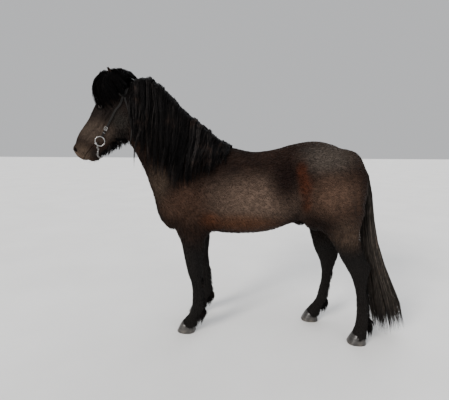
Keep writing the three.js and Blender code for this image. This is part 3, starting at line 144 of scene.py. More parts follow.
HINDLEG_NEAR = [
    (20, 676, 562, 58, 0, 148), (60, 672, 568, 56, 0, 148), (95, 676, 578, 50, 0, 148),
    (120, 681, 584, 46, 0, 148), (150, 685, 589, 45, 0, 148), (190, 682, 592, 45, 0, 148),
    (230, 670, 592, 39, 0, 148), (280, 664, 589, 36, 0, 148), (340, 657, 582, 36, 0, 148),
    (400, 650, 571, 39, 0, 148), (450, 650, 554, 46, 0, 148), (490, 656, 537, 49, 0, 148),
    (530, 663, 515, 48, 0, 148), (565, 662, 494, 47, 0, 148), (600, 642, 472, 48, 0, 149),
    (650, 618, 444, 56, 0, 151), (700, 600, 415, 66, 0, 154), (760, 588, 372, 79, 0, 158),
    (820, 582, 318, 90, 0, 161), (880, 584, 262, 98, 0, 160), (940, 586, 225, 100, 0, 155),
]
HINDLEG_FAR = [
    (20, 382, 262, 58, 0, 146), (60, 388, 268, 56, 0, 146), (95, 395, 292, 50, 0, 146),
    (120, 408, 309, 46, 0, 146), (150, 426, 334, 45, 0, 146), (190, 436, 352, 45, 0, 146),
    (230, 441, 363, 39, 0, 146), (280, 449, 373, 36, 0, 146), (340, 459, 383, 36, 0, 146),
    (400, 466, 383, 39, 0, 146), (450, 478, 376, 46, 0, 146), (490, 489, 366, 49, 0, 146),
    (530, 500, 350, 48, 0, 146), (565, 501, 333, 47, 0, 146), (600, 496, 318, 48, 0, 147),
    (650, 498, 302, 56, 0, 149), (700, 510, 286, 66, 0, 152), (760, 528, 268, 79, 0, 156),
    (820, 548, 252, 90, 0, 160), (880, 565, 238, 98, 0, 160), (940, 575, 222, 100, 0, 155),
]
# Muscles and bony points of both sides: centre, radii, tilt in degrees about Y, blend
BODY_FORMS = [
    ((-560, 132, 1110), (150, 96, 225), 18, 70),
    ((-718, 120, 985), (84, 84, 100), 0, 70),
    ((-732, 66, 876), (80, 70, 102), 0, 60),
    ((-515, 158, 950), (112, 66, 115), -20, 60),
    ((-462, 150, 838), (42, 46, 52), 0, 40),
    ((330, 126, 1160), (222, 126, 188), 12, 90),
    ((400, 150, 1055), (182, 116, 225), 0, 80),
    ((512, 108, 1095), (86, 98, 215), 0, 70),
    ((292, 158, 915), (78, 82, 105), 20, 60),
    ((185, 205, 1285), (60, 40, 52), 0, 60),
]
SHEATH = ((185, 0, 848), (62, 36, 44), 0, 30)
# Forms of the head: place along, across and sideways, radii along, sideways and across, blend, lean
HEAD_FORMS = [
    ((178, -64, 58), (112, 30, 108), 26, 0),
    ((122, 96, 76), (44, 26, 26), 26, 0),
    ((205, 46, 66), (95, 17, 17), 26, -8),
    ((503, 100, 34), (40, 26, 36), 18, 0),
    ((536, 74, 0), (31, 49, 38), 18, 0),
    ((506, -2, 0), (44, 38, 30), 16, 0),
]
MANE_TOP = [
    (-1044, 1823), (-978, 1858), (-905, 1855), (-832, 1809), (-759, 1744), (-686, 1666),
    (-613, 1595), (-539, 1541), (-466, 1480), (-393, 1423), (-320, 1380),
]
MANE_TIP = [
    (-1010, 1430), (-955, 1330), (-900, 1235), (-840, 1160), (-773, 1103), (-700, 1068), (-641, 1056),
    (-575, 1076), (-517, 1106), (-460, 1130), (-409, 1162), (-359, 1236), (-313, 1290),
]
TAIL_REAR = [
    (19, 975), (60, 975), (100, 985), (157, 976), (210, 958), (269, 926), (380, 856), (477, 822),
    (638, 756), (733, 723), (820, 704), (964, 688), (1105, 665), (1160, 642), (1215, 610),
]
TAIL_FRONT = [
    (19, 730), (100, 712), (230, 692), (400, 670), (560, 650), (700, 625), (800, 614), (900, 612),
    (1000, 614), (1100, 612), (1215, 590),
]
TAIL_HALF_WIDTH = [
    (20, 100), (100, 106), (230, 104), (420, 96), (700, 82), (960, 66), (1120, 50), (1225, 36),
]

TABLE_STEPS = 2000


def smooth_table(rows):
    """A smooth curve through the rows, for every column at once: place -> columns."""
    table = np.array(rows, float)
    places = table[:, 0]
    before = table[np.maximum(np.arange(len(table)) - 1, 0)]
    after = table[np.minimum(np.arange(len(table)) + 1, len(table) - 1)]
    slopes = (after - before) / (after[:, :1] - before[:, :1])
    fine = np.linspace(places[0], places[-1], TABLE_STEPS + 1)
    i = np.clip(np.searchsorted(places, fine, side="right") - 1, 0, len(places) - 2)
    span = (places[i + 1] - places[i])[:, None]
    u = ((fine - places[i]) / span[:, 0])[:, None]
    rise = table[i] * (1 + 2 * u) * (1 - u) ** 2 + table[i + 1] * u * u * (3 - 2 * u)
    swing = slopes[i] * u * (1 - u) ** 2 + slopes[i + 1] * u * u * (u - 1)
    columns = rise + span * swing

    def value(place, column):
        return np.interp(place, fine, columns[:, column])

    return value


def smooth_min(a, b, blend):
    h = np.maximum(blend - np.abs(a - b), 0) / blend
    return np.minimum(a, b) - h * h * blend / 4


def smooth_step(value, low, high):
    u = np.clip((value - low) / (high - low), 0, 1)
    return u * u * (3 - 2 * u)


def sweep(frame_axes, rows, power=2.0, end_radius=60.0, mirror=1, shift=None):
    """A body swept along a frame, its section an ellipse or squarer."""
    section = smooth_table(rows)
    first, last = rows[0][0], rows[-1][0]
    has_side = len(rows[0]) > 5
    (ox, oz), (ax, az), (cx, cz) = frame_axes

    def field(x, y, z):
        dx = x - ox - (shift(z) if shift else 0)
        dz = z - oz
        along = dx * ax + dz * az
        across = dx * cx + dz * cz
        high, low, half_width, taper = (section(along, c) for c in (1, 2, 3, 4))
        side = section(along, 5) if has_side else 0.0
        half = (high - low) / 2
        v = (across - (high + low) / 2) / half
        width = half_width * (1 - taper * np.clip(v, -1, 1))
        u = (y - mirror * side) / width
        if power == 2.0:
            ring = np.sqrt(u * u + v * v)
        else:
            ring = (np.abs(u) ** power + np.abs(v) ** power) ** (1 / power)
        past = np.maximum(np.maximum(first - along, along - last), 0) / end_radius
        return (np.hypot(ring, past) - 1) * np.minimum(half, half_width)

    return field


def ellipsoid(at, size, tilt):
    cos, sin = math.cos(math.radians(tilt)), math.sin(math.radians(tilt))
    least = min(size)

    def field(x, y, z):
        dx, dz = x - at[0], z - at[2]
        u = (dx * cos - dz * sin) / size[0]
        v = (y - at[1]) / size[1]
        w = (dx * sin + dz * cos) / size[2]
        return (np.sqrt(u * u + v * v + w * w) - 1) * least

    return field


def both_sides(field):
    return lambda x, y, z: field(x, np.abs(y), z)


def head_form(place, size, lean):
    ax, az = HEAD_FRAME[1]
    return ellipsoid(on_head(*place), size, math.degrees(math.atan2(-az, ax)) + lean)


FAR_FORE_BEHIND, FAR_FORE_LEAN, ELBOW_HEIGHT = 15, 40, 800


def far_foreleg_shift(z):
    """How far the right foreleg lies behind the left one: its hoof behind, its elbow before it."""
    return FAR_FORE_BEHIND - FAR_FORE_LEAN * np.minimum(z, ELBOW_HEIGHT) / ELBOW_HEIGHT


# Each primitive with its blend and the box in which it counts
BODY_PRIMITIVES = [
    (sweep(TRUNK_FRAME, TRUNK, power=2.1), 90, ((-960, -400, 640), (680, 400, 1480))),
    (sweep(NECK_FRAME, NECK, end_radius=45), 90, ((-1230, -300, 700), (-150, 300, 1900))),
]
for centre, radii, tilt_angle, form_blend in BODY_FORMS:
    reach = max(radii) + form_blend + 30
    BODY_PRIMITIVES.append((
        both_sides(ellipsoid(centre, radii, tilt_angle)), form_blend,
        ((centre[0] - reach, -400, centre[2] - reach), (centre[0] + reach, 400, centre[2] + reach)),
    ))
LEG_BOXES = [
    ((-860, -330, -20), (-320, 0, 1010)), ((-860, 0, -20), (-320, 330, 1010)),
    ((120, -330, -20), (780, 0, 1080)), ((120, 0, -20), (780, 330, 1080)),
]
LEG_SWEEPS = [
    sweep(LEG_FRAME, FORELEG, mirror=NEAR),
    sweep(LEG_FRAME, FORELEG, mirror=FAR, shift=far_foreleg_shift),
    sweep(LEG_FRAME, HINDLEG_NEAR, mirror=NEAR),
    sweep(LEG_FRAME, HINDLEG_FAR, mirror=FAR),
]
BODY_PRIMITIVES += [(leg, 45, box) for leg, box in zip(LEG_SWEEPS, LEG_BOXES)]
BODY_PRIMITIVES.append((ellipsoid(*SHEATH[:3]), SHEATH[3], ((60, -120, 740), (310, 120, 960))))
HEAD_BOX = ((-1560, -190, 1180), (-890, 190, 1900))
HEAD_PRIMITIVES = [(sweep(HEAD_FRAME, HEAD, power=2.35, end_radius=14), 26, HEAD_BOX)]
HEAD_PRIMITIVES += [
    (both_sides(head_form(place, size, lean)), form_blend, HEAD_BOX)
    for place, size, form_blend, lean in HEAD_FORMS
]
HEAD_BLEND = 26
OUTSIDE = 400.0


def gathered(primitives, p):
    """The joined primitives at points, each worked out only in its own box."""
    f = np.full(len(p), OUTSIDE)
    for field, blend, (low, high) in primitives:
        near = np.all((p >= low) & (p <= high), axis=1)
        if near.any():
            q = p[near]
            f[near] = smooth_min(f[near], field(q[:, 0], q[:, 1], q[:, 2]), blend)
    return f


def body_flesh(p):
    return gathered(BODY_PRIMITIVES, p)


def flesh(p):
    return smooth_min(body_flesh(p), gathered(HEAD_PRIMITIVES, p), HEAD_BLEND)


def unit(v):
    return v / np.maximum(np.linalg.norm(v, axis=-1, keepdims=True), 1e-9)


def square_to(axis, v):
    """The part of directions v that is square to an axis, with the length 1."""
    return unit(v - axis * (v * axis).sum(-1, keepdims=True))


SLOPE_STEP = 1.5


def slope_of(p):
    """How the flesh's field rises at points."""
    steps = SLOPE_STEP * np.eye(3)
    return np.stack([(flesh(p + step) - flesh(p - step)) / (2 * SLOPE_STEP) for step in steps], axis=1)


def normals_at(p):
    return unit(slope_of(p))


def onto_surface(p, rounds, reach=12.0):
    p = p.copy()
    for _ in range(rounds):
        slope = slope_of(p)
        move = -slope * (flesh(p) / np.maximum((slope ** 2).sum(1), 1e-6))[:, None]
        size = np.linalg.norm(move, axis=1, keepdims=True)
        p += move * np.minimum(1, reach / np.maximum(size, 1e-9))
    return p


# The skin's grid

GRID_STEP = 9.5
GRID_LOW = np.array([-1535.0, -352.0, 44.0])
GRID_HIGH = np.array([672.0, 352.0, 1880.0])


def grid_values(axes):
    shape = tuple(len(a) for a in axes)

    def fill(primitives):
        f = np.full(shape, OUTSIDE, np.float32)
        for field, blend, (low, high) in primitives:
            part = tuple(
                slice(*np.searchsorted(a, (lo, hi))) for a, lo, hi in zip(axes, low, high)
            )
            x = axes[0][part[0]][:, None, None]
            y = axes[1][part[1]][None, :, None]
            z = axes[2][part[2]][None, None, :]
            f[part] = smooth_min(f[part], field(x, y, z).astype(np.float32), blend)
        return f

    return smooth_min(fill(BODY_PRIMITIVES), fill(HEAD_PRIMITIVES), HEAD_BLEND)


def surface_nets(value, axes):
    """One point for each cell that the surface passes through: points, quads."""
    inside = value < 0
    corners = [(a, b, c) for a in (0, 1) for b in (0, 1) for c in (0, 1)]
    cut = [inside[a:inside.shape[0] - 1 + a, b:inside.shape[1] - 1 + b, c:inside.shape[2] - 1 + c]
           for a, b, c in corners]
    total = sum(part.astype(np.int8) for part in cut)
    ci, cj, ck = np.nonzero((total > 0) & (total < 8))
    number = np.full(total.shape, -1, np.int32)
    number[ci, cj, ck] = np.arange(len(ci))
    place = np.zeros((len(ci), 3))
    count = np.zeros(len(ci))
    for m, a in enumerate(corners):
        for b in corners[m + 1:]:
            if sum(abs(p - q) for p, q in zip(a, b)) != 1:
                continue
            va = value[ci + a[0], cj + a[1], ck + a[2]]
            vb = value[ci + b[0], cj + b[1], ck + b[2]]
            crosses = (va < 0) != (vb < 0)
            t = va[crosses] / (va[crosses] - vb[crosses])
            place[crosses] += np.array(a) + (np.array(b) - np.array(a)) * t[:, None]
            count[crosses] += 1
    place = place / count[:, None] + np.stack([ci, cj, ck], axis=1)
    points = np.stack([np.interp(place[:, c], np.arange(len(axes[c])), axes[c]) for c in range(3)], 1)
    quads = []
    for axis in range(3):
        first = [slice(None)] * 3
        second = [slice(None)] * 3
        first[axis], second[axis] = slice(0, -1), slice(1, None)
        a, b = inside[tuple(first)], inside[tuple(second)]
        e = np.stack(np.nonzero(a != b), axis=1)
        e = e[np.all((e > 0) & (e < np.array(number.shape)), axis=1)]
        others = [c for c in range(3) if c != axis]
        ring = []
        for du, dv in ((1, 1), (0, 1), (0, 0), (1, 0)):
            cell = e.copy()
            cell[:, others[0]] -= du
            cell[:, others[1]] -= dv
            ring.append(number[cell[:, 0], cell[:, 1], cell[:, 2]])
        quad = np.stack(ring, axis=1)
        turn = a[e[:, 0], e[:, 1], e[:, 2]] ^ (axis == 1)
        quad[~turn] = quad[~turn][:, ::-1]
        quads.append(quad)
    return points, np.concatenate(quads)


def split(quads):
    return np.concatenate([quads[:, [0, 1, 2]], quads[:, [0, 2, 3]]])


def outward(points, faces):
    """The faces of a closed shape, all turned to the outside."""
    triangles = split(faces) if faces.shape[1] == 4 else faces
    a, b, c = (points[triangles[:, i]] for i in range(3))
    return faces if (a * np.cross(b, c)).sum() > 0 else faces[:, ::-1]


def lofted(rings, ends=None):
    """Triangles over closed rings (n, k, 3): a loop of them, or with a fan to each of two end points."""
    n, k, _ = rings.shape
    index = np.arange(n * k).reshape(n, k)
    following = np.roll(index, -1, axis=1)
    rows = slice(0, n if ends is None else n - 1)
    ring = [index, following, np.roll(following, -1, axis=0), np.roll(index, -1, axis=0)]
    points = rings.reshape(-1, 3)
    faces = split(np.stack([part[rows] for part in ring], -1).reshape(-1, 4))
    if ends is not None:
        points = np.concatenate([points, ends])
        first_fan = np.stack([following[0], index[0], np.full(k, n * k)], 1)
        last_fan = np.stack([index[-1], following[-1], np.full(k, n * k + 1)], 1)
        faces = np.concatenate([faces, first_fan, last_fan])
    return points, outward(points, faces)


def face_vectors(points, faces):
    """The normal of each triangle, twice as long as its area."""
    a, b, c = (points[faces[:, i]] for i in range(3))
    return np.cross(b - a, c - a)


def vertex_normals(points, faces):
    n = face_vectors(points, faces)
    out = np.zeros_like(points)
    for c in range(3):
        np.add.at(out, faces[:, c], n)
    return unit(out)


def mesh_object(name, points, faces, framed=False):
    """A mesh from points and faces of one size."""
    points = np.asarray(points, float) if framed else to_frame(points)
    faces = np.asarray(faces, np.int32)
    mesh = bpy.data.meshes.new(name)
    mesh.vertices.add(len(points))
    mesh.vertices.foreach_set("co", points.astype(np.float32).ravel())
    mesh.loops.add(faces.size)
    mesh.loops.foreach_set("vertex_index", faces.ravel())
    mesh.polygons.add(len(faces))
    mesh.polygons.foreach_set("loop_start", np.arange(0, faces.size, faces.shape[1], dtype=np.int32))
    mesh.polygons.foreach_set("use_smooth", np.ones(len(faces), bool))
    mesh.update(calc_edges=True)
    mesh.validate()
    piece = bpy.data.objects.new(name, mesh)
    bpy.context.scene.collection.objects.link(piece)
    return piece


# Finer faces where the head has small forms


def refined(points, quads, wanted, cuts):
    """Splits the wanted quads, with the faces next to them made to fit; all come back as triangles."""
    bm = bmesh.new()
    for p in points:
        bm.verts.new(p)
    bm.verts.ensure_lookup_table()
    for q in quads.tolist():
        bm.faces.new([bm.verts[i] for i in q])
    bm.faces.ensure_lookup_table()
    for choose, count in zip(wanted, cuts):
        chosen = choose(np.array([f.calc_center_median() for f in bm.faces]))
        edges = {e for f, pick in zip(bm.faces, chosen) if pick for e in f.edges}
        bmesh.ops.subdivide_edges(bm, edges=list(edges), cuts=count, use_grid_fill=True)
        bm.faces.ensure_lookup_table()
    bmesh.ops.triangulate(bm, faces=bm.faces[:])
    bm.verts.ensure_lookup_table()
    bm.verts.index_update()
    fine = np.array([v.co for v in bm.verts])
    triangles = np.array([[v.index for v in f.verts] for f in bm.faces])
    bm.free()
    return fine, triangles


# Eye, nostril and mouth: along, across and sideways on the head
EYE = (138.0, 82.0, 89.0)
EYE_RADIUS, EYE_SUNK = 19.0, 1.5
EYE_OPENING = (19.0, 10.5)
EYE_LEAN = 0.22
EYE_DEPTH = 15
LID_SIDE = 104.0
# Rims and folds round the eye: distance in openings, width, height, and what the upper lid adds
LID_FOLDS = [(1.3, 0.26, 3.6, 3.2), (1.85, 0.2, -2.2, 0), (2.3, 0.25, 1.0, 1.5)]
NOSTRIL = (511.0, 106.0, 46.0)
NOSTRIL_HALF_LONG, NOSTRIL_HALF_WIDE, NOSTRIL_DEPTH, NOSTRIL_RIM = 25, 9.5, 26, 3.4
MOUTH_LINE = [(392, 8), (418, 14), (445, 21), (483, 27), (511, 31), (537, 31), (580, 38)]
MOUTH_DEPTH, LIP_RISE, CHIN_CREASE = 8, 1.8, 0.5


def distance_to(place, t, d):
    return np.hypot(t - place[0], d - place[1])


def distance_to_line(a, b, line):
    """Distance in a plane from points (a, b) to a line of points."""
    best = np.full(np.shape(a), 1e9)
    for (a0, b0), (a1, b1) in zip(line, line[1:]):
        da, db = a1 - a0, b1 - b0
        u = np.clip(((a - a0) * da + (b - b0) * db) / (da * da + db * db), 0, 1)
        best = np.minimum(best, np.hypot(a - a0 - u * da, b - b0 - u * db))
    return best


def on_the_head(centres):
    t, d, _ = head_place(centres)
    return (t > 20) & (centres[:, 0] < -985) & (d > -190)


def fine_on_the_head(centres):
    """Round the lips, the nostrils and the eyes."""
    t, d, y = head_place(centres)
    lips = (distance_to_line(t, d, MOUTH_LINE) < 11) & (t > 378)
    nostrils = (distance_to(NOSTRIL, t, d) < 40) & (np.abs(y) > 8)
    eyes = (distance_to(EYE, t, d) < 34) & (np.abs(y) > 55)
    return (centres[:, 0] < -1000) & (lips | nostrils | eyes)


# Folds and swellings of the body's sides: line as (x, z), radius, height, side (0 is both)

BODY_LINES = [
    ([(-510, 1300), (-575, 1160), (-650, 1010)], 22, 5.0, 0),      # spine of the shoulder blade
    ([(-440, 1270), (-470, 1120), (-500, 1010)], 30, -7.0, 0),     # behind the shoulder
    ([(-640, 940), (-560, 900), (-470, 880)], 18, -4.0, 0),        # under the triceps
    ([(-700, 960), (-640, 1060), (-620, 1150)], 20, -4.5, 0),      # before the shoulder
    ([(-985, 1430), (-880, 1240), (-770, 1040)], 24, -6.0, 0),     # groove of the throat
    ([(-610, 850), (-585, 700), (-570, 560)], 10, -3.5, 0),        # forearm
    ([(-535, 830), (-520, 700), (-515, 560)], 9, -3.0, 0),
    ([(160, 1230), (215, 1140), (250, 1060)], 55, -9.0, 0),        # flank
    ([(215, 985), (262, 1010), (300, 1075)], 14, -6.0, 0),         # fold of the stifle
    ([(470, 1290), (520, 1130), (545, 950)], 18, -6.5, 0),         # behind the thigh
    ([(350, 1260), (400, 1110), (380, 960)], 40, 4.0, 0),
    ([(575, 770), (612, 680), (630, 600)], 10, -6.0, NEAR),        # before the hock's tendon
    ([(505, 760), (482, 660), (478, 600)], 10, -6.0, FAR),
    ([(652, 575), (660, 540)], 15, 4.0, NEAR),                     # point of the hock
    ([(495, 575), (499, 540)], 15, 4.0, FAR),
    ([(-533, 410), (-531, 240)], 6.5, -3.5, NEAR),                 # before the tendons
    ([(-540, 410), (-528, 240)], 6.5, -3.5, FAR),
    ([(612, 470), (631, 240)], 6.5, -3.5, NEAR),
    ([(432, 470), (404, 240)], 6.5, -3.5, FAR),
    ([(-592, 480), (-590, 432)], 14, 3.0, NEAR),                   # knee
    ([(-592, 480), (-590, 432)], 14, 3.0, FAR),
]
# The same for the head, as (along, across)
HEAD_LINES = [
    ([(128, 4), (190, 10), (262, 8)], 7, 8.0),         # crest of the face
    ([(150, 24), (215, 30), (290, 34)], 9, -5.5),      # hollow over it
    ([(262, 24), (335, 62), (420, 84)], 9, -5.0),      # muscle of the lip
    ([(258, 2), (300, -18), (345, -30)], 6, 4.0),      # vein
    ([(96, -66), (150, -128), (206, -150)], 9, 3.0),   # rear edge of the cheek
    ([(262, -80), (330, -64), (400, -52)], 9, 3.0),    # edge of the jaw
    ([(240, -60), (262, -30)], 12, -4.0),              # before the cheek
    ([(88, 96), (118, 116), (160, 112)], 8, 3.5),      # rim of the socket
    ([(86, 80), (72, 62)], 13, -5.0),                  # temple
    ([(420, 60), (468, 62), (500, 70)], 10, -3.0),     # behind the nostril
]
BODY_RELIEF = 1.35


def ridge(distance, width):
    return np.exp(-((distance / width) ** 2))


def eye_forms(t, d):
    along, across = t - EYE[0], d - EYE[1]
    a = (along + EYE_LEAN * across) / EYE_OPENING[0]
    b = (across - EYE_LEAN * along) / EYE_OPENING[1]
    r = np.hypot(a, b) + 0.16 * np.abs(a) ** 3
    upper = smooth_step(b, -0.6, 0.6)
    height = -EYE_DEPTH * smooth_step(-r, -1.06, -0.84)
    for place, width, rise, upper_rise in LID_FOLDS:
        height += (rise + upper_rise * upper) * ridge(r - place, width)
    return height


def nostril_forms(t, d):
    """A comma that slants to the front of the muzzle, with a raised rim."""
    along, across = t - NOSTRIL[0], d - NOSTRIL[1]
    long = 0.6 * along - 0.8 * across
    short = 0.8 * along + 0.6 * across + 0.012 * long * long
    r = np.hypot(long / NOSTRIL_HALF_LONG, short / NOSTRIL_HALF_WIDE)
    return -NOSTRIL_DEPTH * smooth_step(-r, -1.05, -0.5) + NOSTRIL_RIM * ridge(r - 1.35, 0.3)


def mouth_forms(t, d):
    """The slit of the mouth between raised lips, with fine creases across them."""
    away = distance_to_line(t, d, MOUTH_LINE)
    lips = -MOUTH_DEPTH * ridge(away, 2.6) + LIP_RISE * ridge(away - 7, 4)
    crease = CHIN_CREASE * np.sin(0.42 * (t - 2.2 * np.abs(d - 20))) * ridge(away, 16)
    return smooth_step(t, 388, 404) * lips + smooth_step(t, 385, 400) * crease


def forms(p, n):
    """Height of small forms over the field's surface."""
    x, z = p[:, 0], p[:, 2]
    t, d, y = head_place(p)
    sideways = smooth_step(np.abs(n[:, 1]), 0.15, 0.7)
    body = smooth_step(x, -1010, -960)
    head = smooth_step(-x, 960, 1010)
    height = np.zeros(len(p))
    for line, radius, rise, side in BODY_LINES:
        fade = sideways * body * (1.0 if side == 0 else (np.sign(y) == side))
        height += BODY_RELIEF * rise * fade * ridge(distance_to_line(x, z, line), radius)
    for line, radius, rise in HEAD_LINES:
        height += rise * head * sideways * ridge(distance_to_line(t, d, line), radius)
    height += head * smooth_step(np.abs(y), 40, 62) * eye_forms(t, d)
    height += head * smooth_step(np.abs(y), 14, 24) * nostril_forms(t, d)
    height += head * mouth_forms(t, d)
    return height


# The coat: length of its hair over the body, in millimetres

TRUNK_COAT, BELLY_MORE, LEG_COAT = 25.0, 14, 15
FACE_COAT, MUZZLE_LESS, JAW_MORE = 12, 6, 14
# Places of both sides with longer hair: what they add, centre, radii
LONGER_COAT = [
    (12, (-450, 200, 860), (120, 160, 90)),      # elbow
    (8, (190, 220, 1060), (130, 200, 170)),      # flank
    (8, (-760, 0, 930), (120, 160, 150)),        # breast
    (6, (-820, 0, 1180), (120, 90, 160)),        # throat
]
COAT_LIFT = 0.23
TRUNK_LIE, NECK_LIE, LEG_LIE = np.array([(0.86, 0, -0.42), (0.55, 0, -0.78), (0.22, 0, -1.0)])
SWIRLS = [((0.011, 0.017, 0.013), 0), ((-0.021, 0.009, 0.019), 2)]


def head_share(p, start, end):
    """0 on the neck to 1 on the head."""
    return smooth_step(-p[:, 0], start, end) * smooth_step(p[:, 2] + 0.3 * p[:, 0], 860, 980)


def coat_length(p):
    x, y, z = p.T
    t, d, _ = head_place(p)
    mirrored = np.stack([x, np.abs(y), z], 1)
    length = TRUNK_COAT + BELLY_MORE * smooth_step(-z, -860, -770) * smooth_step(x, -800, -700)
    for more, centre, radii in LONGER_COAT:
        length += more * np.exp(-(((mirrored - centre) / radii) ** 2).sum(axis=1))
    legs = smooth_step(-z, -760, -560)
    length = length * (1 - legs) + LEG_COAT * legs
    jaw = smooth_step(-d, 40, 110) * smooth_step(-t, -330, -200)
    face = FACE_COAT - MUZZLE_LESS * smooth_step(t, 220, 460) + JAW_MORE * jaw
    head = head_share(p, 955, 1040)
    return length * (1 - head) + face * head


def coat_depth(p):
    return 0.8 + COAT_LIFT * coat_length(p)


def blended(a, b, share):
    return a * (1 - share)[:, None] + b * share[:, None]


def lie_of_the_coat(p, n):
    """Direction of the hair along the skin."""
    t, d, _ = head_place(p)
    face_down = smooth_step(t, 80, 150) * 2 - 1
    rearward = smooth_step(-d, -60, 60)
    face = HEAD_ALONG * (face_down * (1 - 0.55 * rearward))[:, None]
    face = face - HEAD_ACROSS * (0.25 + 0.6 * rearward)[:, None]
    flow = blended(TRUNK_LIE, NECK_LIE, smooth_step(-p[:, 0] + 0.9 * (p[:, 2] - 1200), 620, 880))
    flow = blended(flow, LEG_LIE, smooth_step(-p[:, 2], -960, -760))
    flow = blended(flow, face, head_share(p, 985, 1050))
    swirl = sum(np.sin(p @ np.array(wave) + phase) for wave, phase in SWIRLS)
    flow += 0.12 * swirl[:, None] * np.cross(n, flow)
    return square_to(n, flow)


def skin_shape():
    """The surface of the flesh with its small forms, as deep as the coat lies over it."""
    axes = [np.arange(lo, hi, GRID_STEP) for lo, hi in zip(GRID_LOW, GRID_HIGH)]
    points, quads = surface_nets(grid_values(axes), axes)
    points = onto_surface(points, rounds=2, reach=GRID_STEP / 2)
    points, faces = refined(points, quads, [on_the_head, fine_on_the_head], [3, 1])
    points = onto_surface(points, rounds=3, reach=GRID_STEP / 2)
    normals = normals_at(points)
    points = points + normals * (forms(points, normals) - coat_depth(points))[:, None]
    return points, faces, vertex_normals(points, faces)


# Materials as small graphs of nodes


class Graph:
    """A material's nodes, in object coordinates (metres)."""

    def __init__(self, name):
        self.material = bpy.data.materials.new(name)
        self.material.use_nodes = True
        self.nodes = self.material.node_tree.nodes
        self.links = self.material.node_tree.links
        self.shader = self.nodes["Principled BSDF"]
        self.place = self.nodes.new("ShaderNodeTexCoord").outputs["Object"]

    def put(self, socket, value):
        if isinstance(value, bpy.types.NodeSocket):
            self.links.new(value, socket)
        elif socket.type == "RGBA" and len(value) == 3:
            socket.default_value = (*value, 1)
        else:
            socket.default_value = value

    def node(self, kind, **inputs):
        node = self.nodes.new("ShaderNode" + kind)
        for key, value in inputs.items():
            self.put(node.inputs[key.replace("_", " ")], value)
        return node

    def set(self, **values):
        for key, value in values.items():
            self.put(self.shader.inputs[key.replace("_", " ")], value)

    def noise(self, scale, detail=3.0, roughness=0.55, place=None, distortion=0.0):
        return self.node(
            "TexNoise", Vector=place or self.place, Scale=scale, Detail=detail, Roughness=roughness,
            Distortion=distortion,
        ).outputs["Fac"]

    def stretched(self, scale):
        return self.node("Mapping", Vector=self.place, Scale=scale).outputs["Vector"]

    def attribute(self, name):
        node = self.node("Attribute")
        node.attribute_name = name
        return node.outputs["Fac"]

    def axis(self, name, place=None):
        return self.node("SeparateXYZ", Vector=place or self.place).outputs[name]

    def math(self, operation, *values):
        node = self.node("Math")
        node.operation = operation
        for socket, value in zip(node.inputs, values):
            self.put(socket, value)
        return node.outputs["Value"]

    def times(self, a, b):
        return self.math("MULTIPLY", a, b)

    def vector(self, operation, a, b=None, output="Vector"):
        node = self.node("VectorMath", Vector=a)
        node.operation = operation
        if b is not None:
            self.put(node.inputs["Scale" if operation == "SCALE" else 1], b)
        return node.outputs[output]

    def scaled(self, colour, factor):
        return self.vector("SCALE", colour, factor)

    def span(self, value, low, high, to_low=0.0, to_high=1.0):
        node = self.node("MapRange", Value=value, From_Min=low, From_Max=high, To_Min=to_low, To_Max=to_high)
        node.interpolation_type = "SMOOTHSTEP"
        return node.outputs["Result"]

    def mix(self, factor, a, b):
        node = self.node("Mix")
        node.data_type = "RGBA"
        for number, value in ((0, factor), (6, a), (7, b)):
            self.put(node.inputs[number], value)
        return node.outputs[2]

    def blob(self, centre, radii, soft):
        """1 round a point of the frame, fading to 0 at the radii."""
        away = self.vector("DIVIDE", self.vector("SUBTRACT", self.place, centre), radii)
        return self.span(self.vector("LENGTH", away, output="Value"), 1.0, 1.0 - soft)

    def bump(self, height, strength, distance):
        return self.node("Bump", Strength=strength, Distance=distance, Height=height).outputs["Normal"]


def framed(x, y, z):
    """A point of the straight horse in the frame's metres."""
    return tuple(float(v) for v in to_frame([(x, y, z)])[0])


DARK = (0.0080, 0.0048, 0.0038)
BROWN = (0.0240, 0.0128, 0.0088)
RUST = (0.0800, 0.0270, 0.0115)
LEG_BLACK = (0.0085, 0.0078, 0.0074)
SKIN_BLACK = (0.0040, 0.0034, 0.0032)

# Markings of both sides, with painted sheen among them: place (x, z), radii, colour, strength, how ragged
BODY_MARKINGS_AND_PAINTED_SHEEN = [
    # Painted sheen: the middle of the barrel lighter, its top left darker
    ((-130, 1010), (0.46, 0.25), (0.1000, 0.0680, 0.0510), 0.95, 0.25),      # barrel
    ((-190, 850), (0.36, 0.11), (0.0800, 0.0345, 0.0175), 0.80, 0.35),       # belly
    ((-425, 865), (0.12, 0.10), RUST, 0.50, 0.7),                            # elbow
    # Painted sheen on the croup
    ((345, 1300), (0.26, 0.16), (0.0640, 0.0520, 0.0430), 0.92, 0.2),        # croup
    ((400, 1060), (0.24, 0.22), (0.0860, 0.0510, 0.0350), 0.90, 0.35),       # thigh
    ((500, 780), (0.17, 0.20), (0.0600, 0.0400, 0.0285), 0.80, 0.45),        # gaskin
    # Painted sheen on the shoulder
    ((-590, 1000), (0.20, 0.22), (0.0500, 0.0270, 0.0180), 0.80, 0.45),      # shoulder
    ((-815, 1120), (0.14, 0.22), (0.0560, 0.0390, 0.0280), 0.80, 0.45),      # neck
    ((-740, 940), (0.12, 0.14), (0.0560, 0.0320, 0.0220), 0.70, 0.4),        # breast
    ((78, 1160), (0.155, 0.24), (0.0066, 0.0030, 0.0023), 0.96, 0.25),       # before the flank
    ((180, 1215), (0.055, 0.10), (0.0440, 0.0125, 0.0056), 0.90, 0.6),      # flank
    ((205, 1120), (0.070, 0.11), (0.0440, 0.0125, 0.0056), 0.90, 0.65),
    ((215, 1010), (0.055, 0.10), (0.0440, 0.0140, 0.0065), 0.85, 0.7),
]
